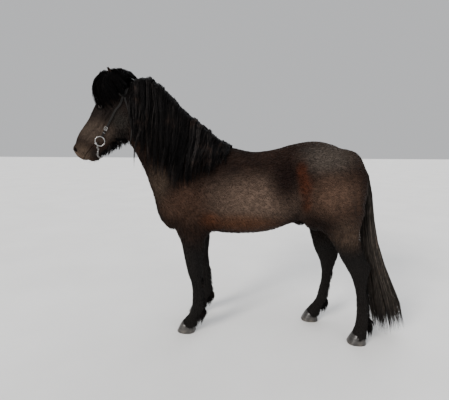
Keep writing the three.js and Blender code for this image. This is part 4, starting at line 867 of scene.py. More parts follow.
# Markings of the head, with painted highlight and shade among them: along, across and sideways, radii,
# colour, strength
HEAD_MARKINGS_AND_PAINTED_LIGHT = [
    ((150, 40, 0), (0.30, 0.30, 0.30), (0.0120, 0.0092, 0.0080), 0.90),      # head
    # Painted highlight on the rounded cheek
    ((170, -70, 0), (0.11, 0.30, 0.11), (0.0200, 0.0175, 0.0150), 0.90),     # cheek
    ((-24, -36, 0), (0.14, 0.30, 0.12), (0.0044, 0.0038, 0.0036), 0.92),     # behind the ears
    # Painted shade under the jaw
    ((262, -98, 0), (0.15, 0.30, 0.062), (0.0058, 0.0050, 0.0046), 0.88),    # lower jaw
    ((330, 60, 0), (0.20, 0.30, 0.13), (0.0580, 0.0420, 0.0320), 0.95),      # nose
    ((530, 70, 0), (0.11, 0.20, 0.11), (0.0800, 0.0560, 0.0400), 0.90),      # muzzle
    # Painted shade on the lower lip and chin
    ((470, -10, 0), (0.09, 0.20, 0.05), (0.0150, 0.0120, 0.0105), 0.70),     # lower lip
]
# Bare skin of both sides: place on the head, radius in metres
BARE_SKIN = [((*EYE[:2], LID_SIDE), 0.040), (NOSTRIL, 0.021)]
LEG_BLACK_FROM, LEG_BLACK_TO, LEG_BLACK_AMOUNT = 0.79, 0.60, 0.92


def coat_colour_and_painted_light(g):
    """Colour of skin and coat over the body, the same for both, with painted sheen, highlight and shade among
    the markings.
    """
    colour = g.mix(g.span(g.noise(2.1, 3.0), 0.35, 0.7), DARK, BROWN)
    rough_edge = g.noise(11.0, 5.0, 0.75, distortion=0.6)
    for (x, z), (long, high), tint, amount, ragged in BODY_MARKINGS_AND_PAINTED_SHEEN:
        spot = g.blob(framed(x, 0, z), (long, 2.0, high), 0.85)
        torn = g.span(rough_edge, 0.30, 0.30 + 0.42 * ragged, 1 - ragged, 1.0)
        colour = g.mix(g.times(g.times(spot, torn), amount), colour, tint)
    low = g.span(g.axis("Z"), LEG_BLACK_FROM, LEG_BLACK_TO)
    colour = g.mix(g.times(low, LEG_BLACK_AMOUNT), colour, LEG_BLACK)
    for place, radii, tint, amount in HEAD_MARKINGS_AND_PAINTED_LIGHT:
        spot = g.blob(framed(*on_head(*place)), radii, 0.75)
        colour = g.mix(g.times(spot, amount), colour, tint)
    for side in (NEAR, FAR):
        for (t, d, y), size in BARE_SKIN:
            spot = g.blob(framed(*on_head(t, d, side * y)), (size,) * 3, 0.5)
            colour = g.mix(g.times(spot, 0.92), colour, SKIN_BLACK)
    return colour


def coat_material(name, tuft):
    """The coat's colours with painted sheen: lighter or darker from tuft to tuft, or streaked and dull on the
    skin below, darkened there as painted shade under the tufts.
    """
    g = Graph(name)
    colour = coat_colour_and_painted_light(g)
    streak = g.noise(1.0, 3.0, 0.6, g.stretched((15, 55, 60)))
    colour = g.scaled(colour, g.span(streak, 0.3, 0.7, 0.78, 1.02))
    if tuft:
        colour = g.scaled(colour, g.span(g.attribute("shade"), 0.1, 0.9, 0.84, 1.16))
        g.set(Base_Color=colour, Roughness=0.58, Specular_IOR_Level=0.055)
    else:
        # Painted shade under the tufts: the skin below is darker
        g.set(Base_Color=g.scaled(colour, 0.90), Roughness=0.66, Specular_IOR_Level=0.035)
        g.set(Normal=g.bump(streak, 0.35, 0.0012))
    g.set(Sheen_Weight=0.01, Sheen_Roughness=0.4, Sheen_Tint=(0.95, 0.85, 0.80))
    return g.material


def hair_material(name, base, light, warm, warm_amount, specular=0.035):
    """Long hair: the value of each hair goes from its base colour to the light one, a painted highlight on
    some strands.
    """
    g = Graph(name)
    shade = g.attribute("shade")
    # Painted highlights: the hairs with high shade values take the light colour
    colour = g.mix(g.span(shade, 0.58, 0.97), base, light)
    patch = g.times(g.span(g.noise(7.0, 3.0), 0.50, 0.72), warm_amount)
    colour = g.mix(g.times(patch, g.span(shade, 0.3, 0.8)), colour, warm)
    strand = g.noise(1.0, 2.0, 0.6, g.stretched((210, 210, 16)))
    colour = g.scaled(colour, g.span(strand, 0.35, 0.65, 0.55, 1.45))
    g.set(Base_Color=colour, Roughness=0.5, Specular_IOR_Level=specular)
    g.set(Sheen_Weight=0.01, Sheen_Roughness=0.35, Sheen_Tint=(0.7, 0.75, 0.85))
    return g.material


def fitted(piece, material, slot, *replaced):
    """A piece with its material and the nodes that it replaces; its slot is not used."""
    piece.data.materials.append(material)
    if replaced:
        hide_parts(*replaced)
    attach(piece, "root")
    return piece


FLESH_NODES = [
    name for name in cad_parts
    if name in ("torso", "neck", "head", "muzzle") or name.startswith(("foreleg", "hindleg"))
]
skin_points, skin_faces, skin_normals = skin_shape()
skin = mesh_object("skin", skin_points, skin_faces)
fitted(skin, coat_material("skin_under_coat", False), "coat", *FLESH_NODES)
print("skin", len(skin_faces), "triangles")

# Hair as closed, tapered spikes with three sides

PATCH = 0.003
LEG_AWAY = 150


def shell(paths, faces_to, widths, thicknesses):
    """Closed spikes along paths (n, m, 3); the last point of each is its tip."""
    n, m, _ = paths.shape
    along = unit(np.gradient(paths, axis=1))
    face = square_to(along, faces_to)
    edge = np.cross(along, face)
    body = slice(0, m - 1)
    w, th = widths[:, body, None], thicknesses[:, body, None]
    left = paths[:, body] - edge[:, body] * w
    right = paths[:, body] + edge[:, body] * w
    top = paths[:, body] + face[:, body] * th
    rings = np.stack([left, right, top], axis=2).reshape(n, -1, 3)
    points = np.concatenate([rings, paths[:, -1:]], axis=1)
    triangles = [(0, 1, 2)]
    for a in range(0, 3 * (m - 2), 3):
        for i, j in ((0, 1), (1, 2), (2, 0)):
            triangles += [(a + j, a + i, a + 3 + i), (a + j, a + 3 + i, a + 3 + j)]
    a, tip = 3 * (m - 2), 3 * (m - 1)
    triangles += [(a + (i + 1) % 3, a + i, tip) for i in range(3)]
    starts = np.arange(n) * points.shape[1]
    faces = (np.array(triangles)[None] + starts[:, None, None]).reshape(-1, 3)
    return points.reshape(-1, 3), faces, len(triangles)


def coat_piece(name, points, faces, per_tuft, shade, root_uv, material, slot, *replaced):
    """A piece of coat, each tuft a small patch of the map at its root's place."""
    print(name, len(shade), "tufts", len(faces), "triangles")
    piece = mesh_object(name, points, faces)
    values = piece.data.attributes.new("shade", "FLOAT", "POINT")
    values.data.foreach_set("value", np.repeat(shade, len(points) // len(shade)).astype(np.float32))
    layer = piece.data.uv_layers.new(name="OFBake")
    corner = np.array([(0, 0), (1, 0), (0.5, 1)]) * PATCH - PATCH / 2
    uv = np.repeat(np.clip(root_uv, 0.01, 0.99), per_tuft, axis=0)[:, None] + corner[None]
    layer.data.foreach_set("uv", uv.reshape(-1).astype(np.float32))
    return fitted(piece, material, slot, *replaced)


def unwrapped(p):
    """Place on the skin laid flat: along the body and round it."""
    low, high = p.min(0), p.max(0)
    long = int(np.argmax(high - low))
    u = (p[:, long] - low[long]) / (high[long] - low[long])
    a, b = (p[:, c] - (low[c] + high[c]) / 2 for c in range(3) if c != long)
    return np.stack([0.02 + 0.96 * u, 0.02 + 0.96 * (np.arctan2(b, a) / (2 * math.pi) + 0.5)], axis=1)


def legs_unwrapped(p):
    """The same for a pair of legs, each in its own half of the map."""
    half = np.where(p[:, 1] < 0, 0.0, 0.5)
    u = (p[:, 2] - p[:, 2].min()) / np.ptp(p[:, 2])
    v = np.arctan2(p[:, 0] - p[:, 0].mean(), np.abs(p[:, 1]) - LEG_AWAY) / (2 * math.pi) + 0.5
    return np.stack([0.02 + 0.96 * u, half + 0.01 + 0.48 * v], 1)


# The short coat: tufts over the whole skin

TUFTS = 70000
TUFT_WIDTH, FINE_WIDTH = 2.4, 1.6
FINE_UNDER = 14
CLUMP = 32.0
CLOUD_CELLS = 32


def bare(p):
    """Places without tufts: lips, nostrils, the eyes' openings and the end of the muzzle."""
    t, d, y = head_place(p)
    eye = np.hypot((t - EYE[0]) / (EYE_OPENING[0] + 4), (d - EYE[1]) / (EYE_OPENING[1] + 5)) < 1
    nose = distance_to(NOSTRIL, t, d) < 17
    lips = (distance_to_line(t, d, MOUTH_LINE) < 8) & (t > 396)
    either = (eye & (np.abs(y) > 60)) | (nose & (np.abs(y) > 14)) | lips | (t > 520)
    return (p[:, 0] < -1000) & either


def sampled(points, faces, normals, weight, count, rng):
    """Places spread over triangles by weight: points and normals."""
    pick = rng.choice(len(weight), count, p=weight / weight.sum())
    a, b = rng.random((2, count))
    flip = a + b > 1
    a[flip], b[flip] = 1 - a[flip], 1 - b[flip]
    mixing = np.stack([1 - a - b, a, b], axis=1)[:, :, None]
    corners = faces[pick]
    return (points[corners] * mixing).sum(1), unit((normals[corners] * mixing).sum(1))


def cloud(p, size, seed):
    """Smooth random values from 0 to 1, over blobs of a size in millimetres."""
    table = np.random.default_rng(seed).random((CLOUD_CELLS,) * 3)
    q = p / size
    i = np.floor(q).astype(int)
    u = q - i
    u = u * u * (3 - 2 * u)
    out = np.zeros(len(p))
    for corner in np.ndindex(2, 2, 2):
        share = np.prod(np.where(corner, u, 1 - u), axis=1)
        a, b, c = ((i + corner) % CLOUD_CELLS).T
        out += share * table[a, b, c]
    return out


def coat_tufts(roots, normals, lie, rng, length=None):
    """Tufts on the skin: neighbours lean together, so that they read as small locks."""
    count = len(roots)
    drawn = roots - 0.7 * lie * (roots * lie).sum(1)[:, None]
    lock = cloud(drawn, CLUMP, 3)
    if length is None:
        length = coat_length(roots) * rng.uniform(0.8, 1.1, count) * (0.85 + 0.3 * lock)
    fine = length < FINE_UNDER
    width = np.where(fine, FINE_WIDTH, TUFT_WIDTH) * rng.uniform(0.8, 1.25, count)
    lift = COAT_LIFT * (0.5 + 0.55 * lock) * rng.uniform(0.85, 1.15, count) * np.where(fine, 0.5, 1.0)
    sway = rng.normal(0, 0.10, count) + 0.9 * (cloud(drawn, CLUMP * 1.3, 4) - 0.5)
    side = np.cross(normals, lie)
    ahead = unit(lie + side * sway[:, None])
    reach = np.array([0, 0.45, 1.0])
    rise = np.array([-0.09 / 0.42, 0.24 / 0.42, 0.95])
    paths = roots[:, None] + ahead[:, None] * (length[:, None] * reach)[..., None]
    paths += normals[:, None] * ((length * lift)[:, None] * rise)[..., None]
    paths[:, 1] += side * (rng.normal(0, 0.05, count) * length)[:, None]
    widths = width[:, None] * np.array([0.75, 1.0, 0])
    thick = (width * np.where(fine, 0.6, 1.0))[:, None] * np.array([0.55, 0.5, 0])
    shade = 0.5 * lock + 0.3 * cloud(drawn, CLUMP / 2.6, 5) + 0.2 * rng.random(count)
    return *shell(paths, np.repeat(normals[:, None], 3, axis=1), widths, thick), shade


# Pieces of the coat, by place on the body
ZONES = [
    "coat_head", "coat_neck", "coat_shoulder", "coat_barrel", "coat_quarters", "coat_forelegs",
    "coat_hindlegs",
]
HEAD_REAR, SHOULDER_REAR, BARREL_REAR = -1003, -380, 120
# The neck's base: a point of the plane where it starts, and the way out of the shoulder, as (x, z)
NECK_BASE, NECK_OUT = (-600, 1120), (-0.652, 0.758)
FORELEG_TOP, FORELEG_REAR, HINDLEG_TOP, HINDLEG_FRONT = 800, -300, 860, 200


def zone_of(p):
    """Each place's number in ZONES; a later line goes before an earlier one."""
    x, _, z = p.T
    zone = np.full(len(p), ZONES.index("coat_barrel"))
    zone[x > BARREL_REAR] = ZONES.index("coat_quarters")
    zone[x < SHOULDER_REAR] = ZONES.index("coat_shoulder")
    out_of_base = (x - NECK_BASE[0]) * NECK_OUT[0] + (z - NECK_BASE[1]) * NECK_OUT[1]
    zone[(out_of_base > 0) & (x < SHOULDER_REAR)] = ZONES.index("coat_neck")
    zone[x < HEAD_REAR] = ZONES.index("coat_head")
    zone[(z < FORELEG_TOP) & (x < FORELEG_REAR)] = ZONES.index("coat_forelegs")
    zone[(z < HINDLEG_TOP) & (x > HINDLEG_FRONT)] = ZONES.index("coat_hindlegs")
    return zone


rng = np.random.default_rng(20)
coat = coat_material("coat", True)
centres = skin_points[skin_faces].mean(axis=1)
areas = np.linalg.norm(face_vectors(skin_points, skin_faces), axis=1)
density = (26 / coat_length(centres)) ** 1.05 * ~bare(centres)
roots, root_normals = sampled(skin_points, skin_faces, skin_normals, areas * density, TUFTS, rng)
lie = lie_of_the_coat(roots, root_normals)
zones = zone_of(roots)
for index, zone_name in enumerate(ZONES):
    here = zones == index
    tufts = coat_tufts(roots[here], root_normals[here], lie[here], rng)
    flat = legs_unwrapped if zone_name.endswith("legs") else unwrapped
    coat_piece(zone_name, *tufts, flat(roots[here]), coat, "coat")

# Long hair: hairs gathered in clumps, each clump closing to a tip


def smooth_path(controls, stations):
    """Curves through control points (k, c, 3), read at evenly spread stations: (k, m, 3)."""
    k, c, _ = controls.shape
    at = np.linspace(0, c - 1, stations)
    i = np.minimum(at.astype(int), c - 2)
    u = (at - i)[None, :, None]
    before, a = controls[:, np.maximum(i - 1, 0)], controls[:, i]
    b, after = controls[:, i + 1], controls[:, np.minimum(i + 2, c - 1)]
    return 0.5 * (
        2 * a + (b - before) * u + (2 * before - 5 * a + 4 * b - after) * u * u
        + (3 * a - before - 3 * b + after) * u ** 3
    )


def clumped(
    paths, faces_to, half_width, depth, per_clump, hair, rng, wave=5.0, short=0.25, edge_to=None, gather=0.84,
):
    """Hairs of clumps along paths (k, m, 3): spread at the root, gathered toward the tip."""
    k, m, _ = paths.shape
    half_width, depth = (np.broadcast_to(v, k)[:, None, None] for v in (half_width, depth))
    u = np.linspace(0, 1, m)
    along = unit(np.gradient(paths, axis=1))
    face = square_to(along, faces_to)
    edge = np.cross(along, face) if edge_to is None else edge_to
    a = rng.uniform(-1, 1, (k, per_clump))
    b = rng.uniform(-1, 1, (k, per_clump))
    reach = 1 - short * rng.random((k, per_clump)) ** 1.5
    at = u[None, None] * reach[..., None] * (m - 1)
    i = np.minimum(at.astype(int), m - 2)
    v = (at - i)[..., None]
    rows = np.arange(k)[:, None, None]

    def read(values):
        return values[rows, i] * (1 - v) + values[rows, i + 1] * v

    gathered_at = 1 - gather * u ** 1.5
    spread_across = (half_width * a[..., None] * gathered_at)[..., None]
    spread_deep = (depth * b[..., None] * (1 - 0.6 * u))[..., None]
    phase = rng.uniform(0, 2 * math.pi, (k, 1, 1))
    own = rng.uniform(0, 2 * math.pi, (k, per_clump, 1))
    turns = rng.uniform(1.2, 2.3, (k, 1, 1)) * math.pi
    ripple = wave * (np.sin(turns * u + phase) * 0.8 + 0.3 * np.sin(2.7 * turns * u + own)) * u
    hairs = read(paths) + read(edge) * (spread_across + ripple[..., None]) + read(face) * spread_deep
    n = k * per_clump
    hairs = hairs.reshape(n, m, 3)
    width = hair * rng.uniform(0.7, 1.3, (n, 1)) * (1 - 0.55 * u ** 2)[None]
    shade = 0.55 * rng.random((k, 1)) + 0.45 * rng.random((k, per_clump))
    return hairs, read(face).reshape(n, m, 3), width, width * 0.6, shade.reshape(n)


def spread_uv(u, rng):
    """Places along a seam of the skin for hairs that grow in a line."""
    return np.stack([0.03 + 0.94 * np.clip(u, 0, 1), rng.uniform(0.03, 0.97, len(u))], 1)


def hair_piece(name, made, material, slot, *replaced, along=None):
    hairs, face, width, thick, shade = made
    if along is None:
        along = rng.random(len(hairs))
    uv = spread_uv(along, rng)
    return coat_piece(name, *shell(hairs, face, width, thick), shade, uv, material, slot, *replaced)


def joined(made):
    return [np.concatenate(parts) for parts in zip(*made)]


def held(directions, stations):
    """One direction for each path, repeated at all its stations."""
    return np.repeat(directions[:, None], stations, axis=1)


mane_top = smooth_table(MANE_TOP)
mane_tip = smooth_table(MANE_TIP)
tail_rear = smooth_table(TAIL_REAR)
tail_front = smooth_table(TAIL_FRONT)
tail_half_width = smooth_table(TAIL_HALF_WIDTH)


def skin_side(x, z, side):
    """Half width of neck and shoulder at points of the profile."""
    shape = np.shape(x)
    x, z = np.ravel(x), np.ravel(z)
    outer = np.full(len(x), 400.0)
    inner = np.zeros(len(x))
    for _ in range(13):
        middle = (inner + outer) / 2
        out = body_flesh(np.stack([x, side * middle, z], 1)) > 0
        outer = np.where(out, middle, outer)
        inner = np.where(out, inner, middle)
    return inner.reshape(shape)


MANE_SPAN = (-1008.0, -318.0)
# Layers of the mane: side, clumps, height over the skin, depth below the top, reach of the fall
MANE_LAYERS = [
    (NEAR, 40, 4, 22, 0.97), (NEAR, 44, 12, 12, 1.0), (NEAR, 48, 20, 3, 0.97), (NEAR, 26, 29, 0, 0.88),
    (FAR, 28, 5, 16, 0.36), (FAR, 32, 13, 5, 0.40),
]
MANE_FALL = np.array([0.08, 0.2, 0.38, 0.58, 0.79, 1.0])
MANE_STATIONS = 8
HAIRS_IN_CLUMP = 28


def mane(rng):
    """Clumps from the crest down the neck: what clumped makes of them, and the place of each hair."""
    made = []
    roots_x = []
    for side, count, lift, below, reach in MANE_LAYERS:
        x = np.linspace(*MANE_SPAN, count) + rng.normal(0, 5, count)
        x = np.clip(x, *MANE_SPAN)
        top = mane_top(x, 1) - below - 4 * rng.random(count) + 20 * rng.random(count) ** 4
        rise = (mane_top(x + 20, 1) - mane_top(x - 20, 1)) / 40
        fall = (top - mane_tip(x, 1)) * reach * (1.03 - 0.32 * rng.random(count) ** 1.6)
        lean = rng.normal(-14, 22, count) + 44 * smooth_step(-x, 900, 1010)
        root = np.stack([x, np.full(count, -side * 8.0), top - 44], 1)
        crown = np.stack([x, np.full(count, side * 3.0), top - 4], 1)
        z = top[:, None] - fall[:, None] * MANE_FALL
        xs = np.repeat(x[:, None], len(MANE_FALL), 1)
        out = np.maximum(skin_side(xs, z, side), 30 + 56 * MANE_FALL) + lift
        sway = rng.normal(0, 7, (count, len(MANE_FALL))) * MANE_FALL
        out = out + np.abs(rng.normal(0, 5, (count, len(MANE_FALL)))) * MANE_FALL
        falling = np.stack([xs + lean[:, None] * MANE_FALL + sway, side * out, z], axis=2)
        controls = np.concatenate([root[:, None], crown[:, None], falling], axis=1)
        face = np.tile([0, side, 0.15], (count, MANE_STATIONS, 1))
        face[:, 0] = (0, -side, 0.2)
        face[:, 1] = unit(np.stack([-rise, np.full(count, 0.35 * side), np.ones(count)], 1))
        sloping = unit(np.stack([np.ones(count), 0 * rise, rise], 1))
        share = smooth_step(np.linspace(0, 1, MANE_STATIONS), 0.3, 0.7)[None, :, None]
        edge = sloping[:, None] * (1 - share) + np.array([1.0, 0, 0]) * share
        half = 1.15 * (MANE_SPAN[1] - MANE_SPAN[0]) / max(count, 36) * rng.uniform(0.55, 1.35, count)
        made.append(clumped(
            smooth_path(controls, MANE_STATIONS), face, half, rng.uniform(4, 9, count), HAIRS_IN_CLUMP,
            1.7, rng, wave=11.0, short=0.42, edge_to=edge, gather=0.70,
        ))
        roots_x.append(np.repeat(x, HAIRS_IN_CLUMP))
    return joined(made), np.concatenate(roots_x)


# Colours of long hair: base, light (painted highlights on the strands), warm, and how much of it is warm
mane_hair = hair_material(
    "mane_hair", (0.0024, 0.0020, 0.0020), (0.0250, 0.0215, 0.0205), (0.050, 0.030, 0.022), 0.42,
)
forelock_hair = hair_material(
    "forelock_hair", (0.0014, 0.0011, 0.0011), (0.0048, 0.0041, 0.0040), (0.007, 0.005, 0.004), 0.3, 0.02,
)
tail_tint = hair_material(
    "tail_hair", (0.0190, 0.0158, 0.0134), (0.0620, 0.0520, 0.0430), (0.055, 0.037, 0.027), 0.6,
)

MANE_PARTING = -690
made, along_crest = mane(np.random.default_rng(31))
front = along_crest < MANE_PARTING
for name, here in (("mane_front", front), ("mane_rear", ~front)):
    u = (along_crest[here] - along_crest[here].min()) / np.ptp(along_crest[here])
    hair_piece(name, [part[here] for part in made], mane_hair, "coat", along=u)

# Paths of the forelock on the head, from the middle round to behind the ear: along, across, sideways
FORELOCK_PATHS = [
    [(0, -28, 60, 0), (0.5, -20, 66, 24), (1, -8, 50, 50), (1.7, -30, 36, 52)],
    [(0, -78, 200, 0), (0.5, -78, 188, 40), (1, -78, 156, 72), (1.7, -118, 140, 66)],
    [(0, -16, 232, 0), (0.5, -12, 212, 58), (1, -10, 158, 96), (1.7, -134, 114, 86)],
    [(0, 66, 210, 0), (0.5, 64, 186, 76), (1, 46, 112, 110), (1.7, -124, 62, 102)],
    [(0, 130, 168, 0), (0.5, 124, 136, 94), (1, 88, 44, 114), (1.7, -92, 12, 106)],
    [(0, 160, 124, 0), (0.5, 160, 84, 100), (1, 108, -16, 110), (1.7, -50, -26, 102)],
]
FORELOCK_REACH = 1.66
FORELOCK_STATIONS = 8
HAIRS_IN_FORELOCK = 26
FORELOCK_MIDDLE = (30.0, 112.0, 0.0)
POLL_MIDDLE = (-60.0, 20.0, 0.0)
# Layers of the forelock: clumps and size
FORELOCK_LAYERS = [(30, 0.74), (38, 0.87), (46, 1.0)]
POLL_PATHS = [
    [(-28, 50, 0), (-98, 158, 0), (-140, 118, 0), (-134, 34, 0)],
    [(-30, 38, 34), (-88, 146, 60), (-130, 106, 72), (-112, 28, 78)],
]
POLL_CLUMPS = 34


def forelock(rng):
    """Clumps that arch from the poll over brow and eyes in layers, and short ones that fall behind it."""
    made = []
    tables = [smooth_table(path) for path in FORELOCK_PATHS]
    middle = on_head(*FORELOCK_MIDDLE)
    for count, size in FORELOCK_LAYERS:
        fan = FORELOCK_REACH * np.linspace(-1, 1, count) + rng.normal(0, 0.04, count)
        fan = np.clip(fan, -FORELOCK_REACH, FORELOCK_REACH)
        puff = size * rng.uniform(0.93, 1.03, count)
        controls = []
        for n, table in enumerate(tables):
            t, d, y = (table(np.abs(fan), c) for c in (1, 2, 3))
            point = on_head(t, d, np.sign(fan) * y)
            if n:
                point = middle + (point - middle) * puff[:, None] + rng.normal(0, 8, (count, 3))
            controls.append(point)
        controls = np.stack(controls, axis=1)
        end = unit(controls[:, -1] - controls[:, -2])
        controls[:, -1] += end * rng.uniform(-24, 20, count)[:, None]
        paths = smooth_path(controls, FORELOCK_STATIONS)
        made.append(clumped(
            paths, paths - middle, rng.uniform(14, 24, count), 10.0, HAIRS_IN_FORELOCK, 1.8, rng,
            wave=11.0, short=0.42, gather=0.62,
        ))
    fan = np.linspace(-1, 1, POLL_CLUMPS)
    controls = np.stack([
        on_head(*(
            np.interp(np.abs(fan), (0, 1), (inner[c], outer[c])) * (np.sign(fan) if c == 2 else 1)
            for c in range(3)
        ))
        for inner, outer in zip(*POLL_PATHS)
    ], axis=1)
    controls[:, 1:] += rng.normal(0, 9, controls[:, 1:].shape)
    paths = smooth_path(controls, FORELOCK_STATIONS)
    made.append(clumped(
        paths, paths - on_head(*POLL_MIDDLE), rng.uniform(14, 24, len(fan)), 11.0, HAIRS_IN_FORELOCK, 1.8,
        rng, wave=10.0, short=0.45, gather=0.55,
    ))
    return joined(made)


hair_piece("forelock", forelock(np.random.default_rng(8)), forelock_hair, "coat")

# Long hair under the jaw: root and tip along and across the head, distance from the middle
BEARD = [
    ((150, -126), (176, -176), 50), ((196, -122), (218, -196), 44),
    ((236, -112), (262, -204), 36), ((262, -94), (306, -172), 30), ((288, -74), (352, -139), 26),
    ((338, -62), (398, -104), 22), ((372, -54), (436, -82), 18), ((420, -44), (486, -46), 16),
]
BEARD_SHARES = (-1, -0.5, 0, 0.5, 1)
BEARD_CLUMPS = 4


def beard(rng):
    """Tufts of long hair from the cheek to the chin."""
    controls = []
    u = np.array([0, 0.35, 0.7, 1.0])
    for (t0, d0), (t1, d1), away in BEARD:
        for share in np.repeat(BEARD_SHARES, BEARD_CLUMPS):
            t_shift, d_shift = rng.normal(0, 14), rng.normal(0, 6)
            reach = rng.uniform(0.5, 0.95)
            t = t0 + t_shift + (t1 - t0) * u * reach - 8 * np.sin(math.pi * u)
            d = d0 + d_shift + (d1 - d0) * u * reach - 6 * np.sin(math.pi * u)
            controls.append(on_head(t, d, share * (away + 4 * u)))
    paths = smooth_path(np.array(controls), 5)
    face = np.zeros_like(paths)
    face[..., 1] = np.sign(paths[..., 1]) + 0.01
    return clumped(paths, face, 13.0, 8.0, 12, 1.1, rng, wave=4.0, short=0.5)


hair_piece("beard", beard(np.random.default_rng(12)), mane_hair, "coat")

# Rings of the tail: clumps, spread, height of the tips, top, depth below the outside
TAIL_RINGS = [
    (34, 1.0, 0, 1175, 3.0), (30, 0.86, 10, 1140, 12.0), (22, 0.6, 30, 1060, 10.0), (12, 0.3, 60, 960, 10.0),
]
TAIL_TIPS = (14.0, 48.0)
TAIL_STATIONS = 9
TAIL_FALL = np.array([0.05, 0.2, 0.4, 0.6, 0.8, 1.0])
HAIRS_IN_TAIL = 42
DOCK = [(520, 1290), (575, 1262)]


def tail_middle(z):
    return (tail_front(z, 1) + tail_rear(z, 1)) / 2


def tail_depth(z):
    return (tail_rear(z, 1) - tail_front(z, 1)) / 2


def tail(rng):
    """Rings of clumps that come over the dock and fall nearly to the floor."""
    made = []
    for count, spread, rise, top, sunk in TAIL_RINGS:
        turn = (np.arange(count) + 0.5 + rng.normal(0, 0.2, count)) / count * 2 * math.pi
        cos, sin = np.cos(turn), np.sin(turn)
        back = (1 + cos) / 2
        tip = TAIL_TIPS[0] + (TAIL_TIPS[1] - TAIL_TIPS[0]) * back + rise + 40 * rng.random(count) ** 1.5
        drift = rng.uniform(0.86, 1.0, count)
        tops = top + 40 * (1 - back)
        z = tops[:, None] + (tip - tops)[:, None] * TAIL_FALL
        inside = 4.0 + sunk
        narrow = np.where(z < 500, drift[:, None], 1)
        x = tail_middle(z) + (spread * tail_depth(z) - inside) * cos[:, None]
        y = (spread * tail_half_width(z, 1) - inside) * sin[:, None] * narrow
        start = np.stack([
            DOCK[0][0] + 12 * cos, 26 * spread * sin, DOCK[0][1] - 26 * (1 - back),
        ], 1)
        over = np.stack([
            DOCK[1][0] + 30 * spread * cos, 32 * spread * sin,
            DOCK[1][1] - 34 * (1 - back) - 8 * sunk / 3,
        ], 1)
        controls = np.concatenate([start[:, None], over[:, None], np.stack([x, y, z], 2)], axis=1)
        face = held(np.stack([cos, sin, 0 * turn], 1), TAIL_STATIONS)
        half = 2.6 * math.pi * 60 / count * max(spread, 0.5) * rng.uniform(0.7, 1.3, count)
        made.append(clumped(
            smooth_path(controls, TAIL_STATIONS), face, half, 10.0, HAIRS_IN_TAIL, 2.7, rng,
            wave=13.0, short=0.22, gather=0.35,
        ))
    return joined(made)


hair_piece("tail_hair", tail(np.random.default_rng(44)), tail_tint, "long_hair", "tail")

# Feet: name, sweep, side, distance from the middle, toe and heel at the floor
FEET = [
    ("fore_left", NEAR, 156, -694, -557), ("fore_right", FAR, 156, -679, -542),
    ("hind_left", NEAR, 148, 539, 670), ("hind_right", FAR, 146, 241, 374),
]
CORONET = {"front": 78, "back": 34, "setback": 40, "heel_in": 6}


def back_of_leg(y, z, start):
    """How far back the leg reaches at heights z."""
    x = np.full(len(z), float(start))
    for _ in range(100):
        out = body_flesh(np.stack([x, np.full(len(z), float(y)), z], 1)) > 0
        if not out.any():
            break
        x = np.where(out, x - 3, x)
    return x


def feathers(side, away, heel, rng):
    """Hairs behind a leg: the long ones of the pastern and the short ones over them."""
    y = side * away

    def made(rows, fan, aside, *sizes, **looks):
        """Clumps through rows of height on the leg, distance behind it, sideways and height."""
        controls = np.stack([
            np.stack([back_of_leg(y, at, heel + 190) + gap, y + across, z], 1) for at, gap, across, z in rows
        ], axis=1)
        face = held(np.stack([np.ones(len(fan)), aside * fan, np.full(len(fan), 0.1)], 1), 5)
        return clumped(smooth_path(controls, 5), face, *sizes, rng, **looks)

    count = 48
    fan = rng.uniform(-1, 1, count)
    inward = 18 * fan ** 2
    root = 205 - 40 * fan ** 2 - 34 * rng.random(count)
    tip = np.maximum(root - rng.uniform(70, 130, count), 44)
    middle = (root + tip) / 2
    lie_out = rng.uniform(0.4, 1.0, count)
    low = made([
        (root, -14 - inward, 22 * fan, root), (root - 26, 5 - inward, 31 * fan, root - 30),
        (middle, 32 * lie_out - inward, 34 * fan, middle), (tip, 40 * lie_out - inward, 31 * fan, tip),
    ], fan, 0.9, 9.0, 8.0, 14, 1.4, wave=6.0, short=0.4, gather=0.6)
    count = 26
    root = rng.uniform(225, 430, count)
    length = rng.uniform(38, 62, count)
    fan = rng.uniform(-0.7, 0.7, count)
    middle, tip = root - 0.5 * length, root - length
    inward = 12 * fan ** 2
    high = made([
        (root, -8 - 14 * fan ** 2, 16 * fan, root), (middle, 3 - inward, 18 * fan, middle),
        (tip, 11 - inward, 18 * fan, tip),
    ], fan, 0.7, 7.0, 4.0, 12, 1.0, wave=2.0)
    return low, high


for foot, side, away, toe, heel in FEET:
    both = feathers(side, away, heel, np.random.default_rng(abs(heel)))
    for kind, made in zip(("feather", "fringe"), both):
        hair_piece(f"{kind}_{foot}", made, mane_hair, "coat")

# Ears: a rolled leaf of skin, open forward and outward

EAR = {"along": -35, "across": 52, "side": 50, "length": 158, "width": 31, "depth": 20, "wall": 3.0}
# Share of the full size, and half the angle that the leaf wraps, along the ear
EAR_SIZES = [
    (-0.12, 0.62), (0, 0.66), (0.14, 0.84), (0.32, 1), (0.5, 0.98), (0.68, 0.80), (0.85, 0.48), (0.96, 0.18),
    (1, 0.05),
]
EAR_WRAP = [(-0.12, 172), (0, 168), (0.15, 150), (0.3, 128), (0.5, 112), (0.7, 100), (0.9, 88), (1, 80)]
EAR_ROWS, EAR_COLUMNS = 30, 25
EAR_TUFTS = 2600
EAR_COAT_INSIDE, EAR_COAT_OUTSIDE = 15.0, 9.0


def ear_axes(side):
    up = unit(head_direction(-0.485, 0.86, side * 0.12))
    opening = square_to(up, head_direction(0.5, 0.5, side * 0.75))
    return up, opening, np.cross(up, opening)


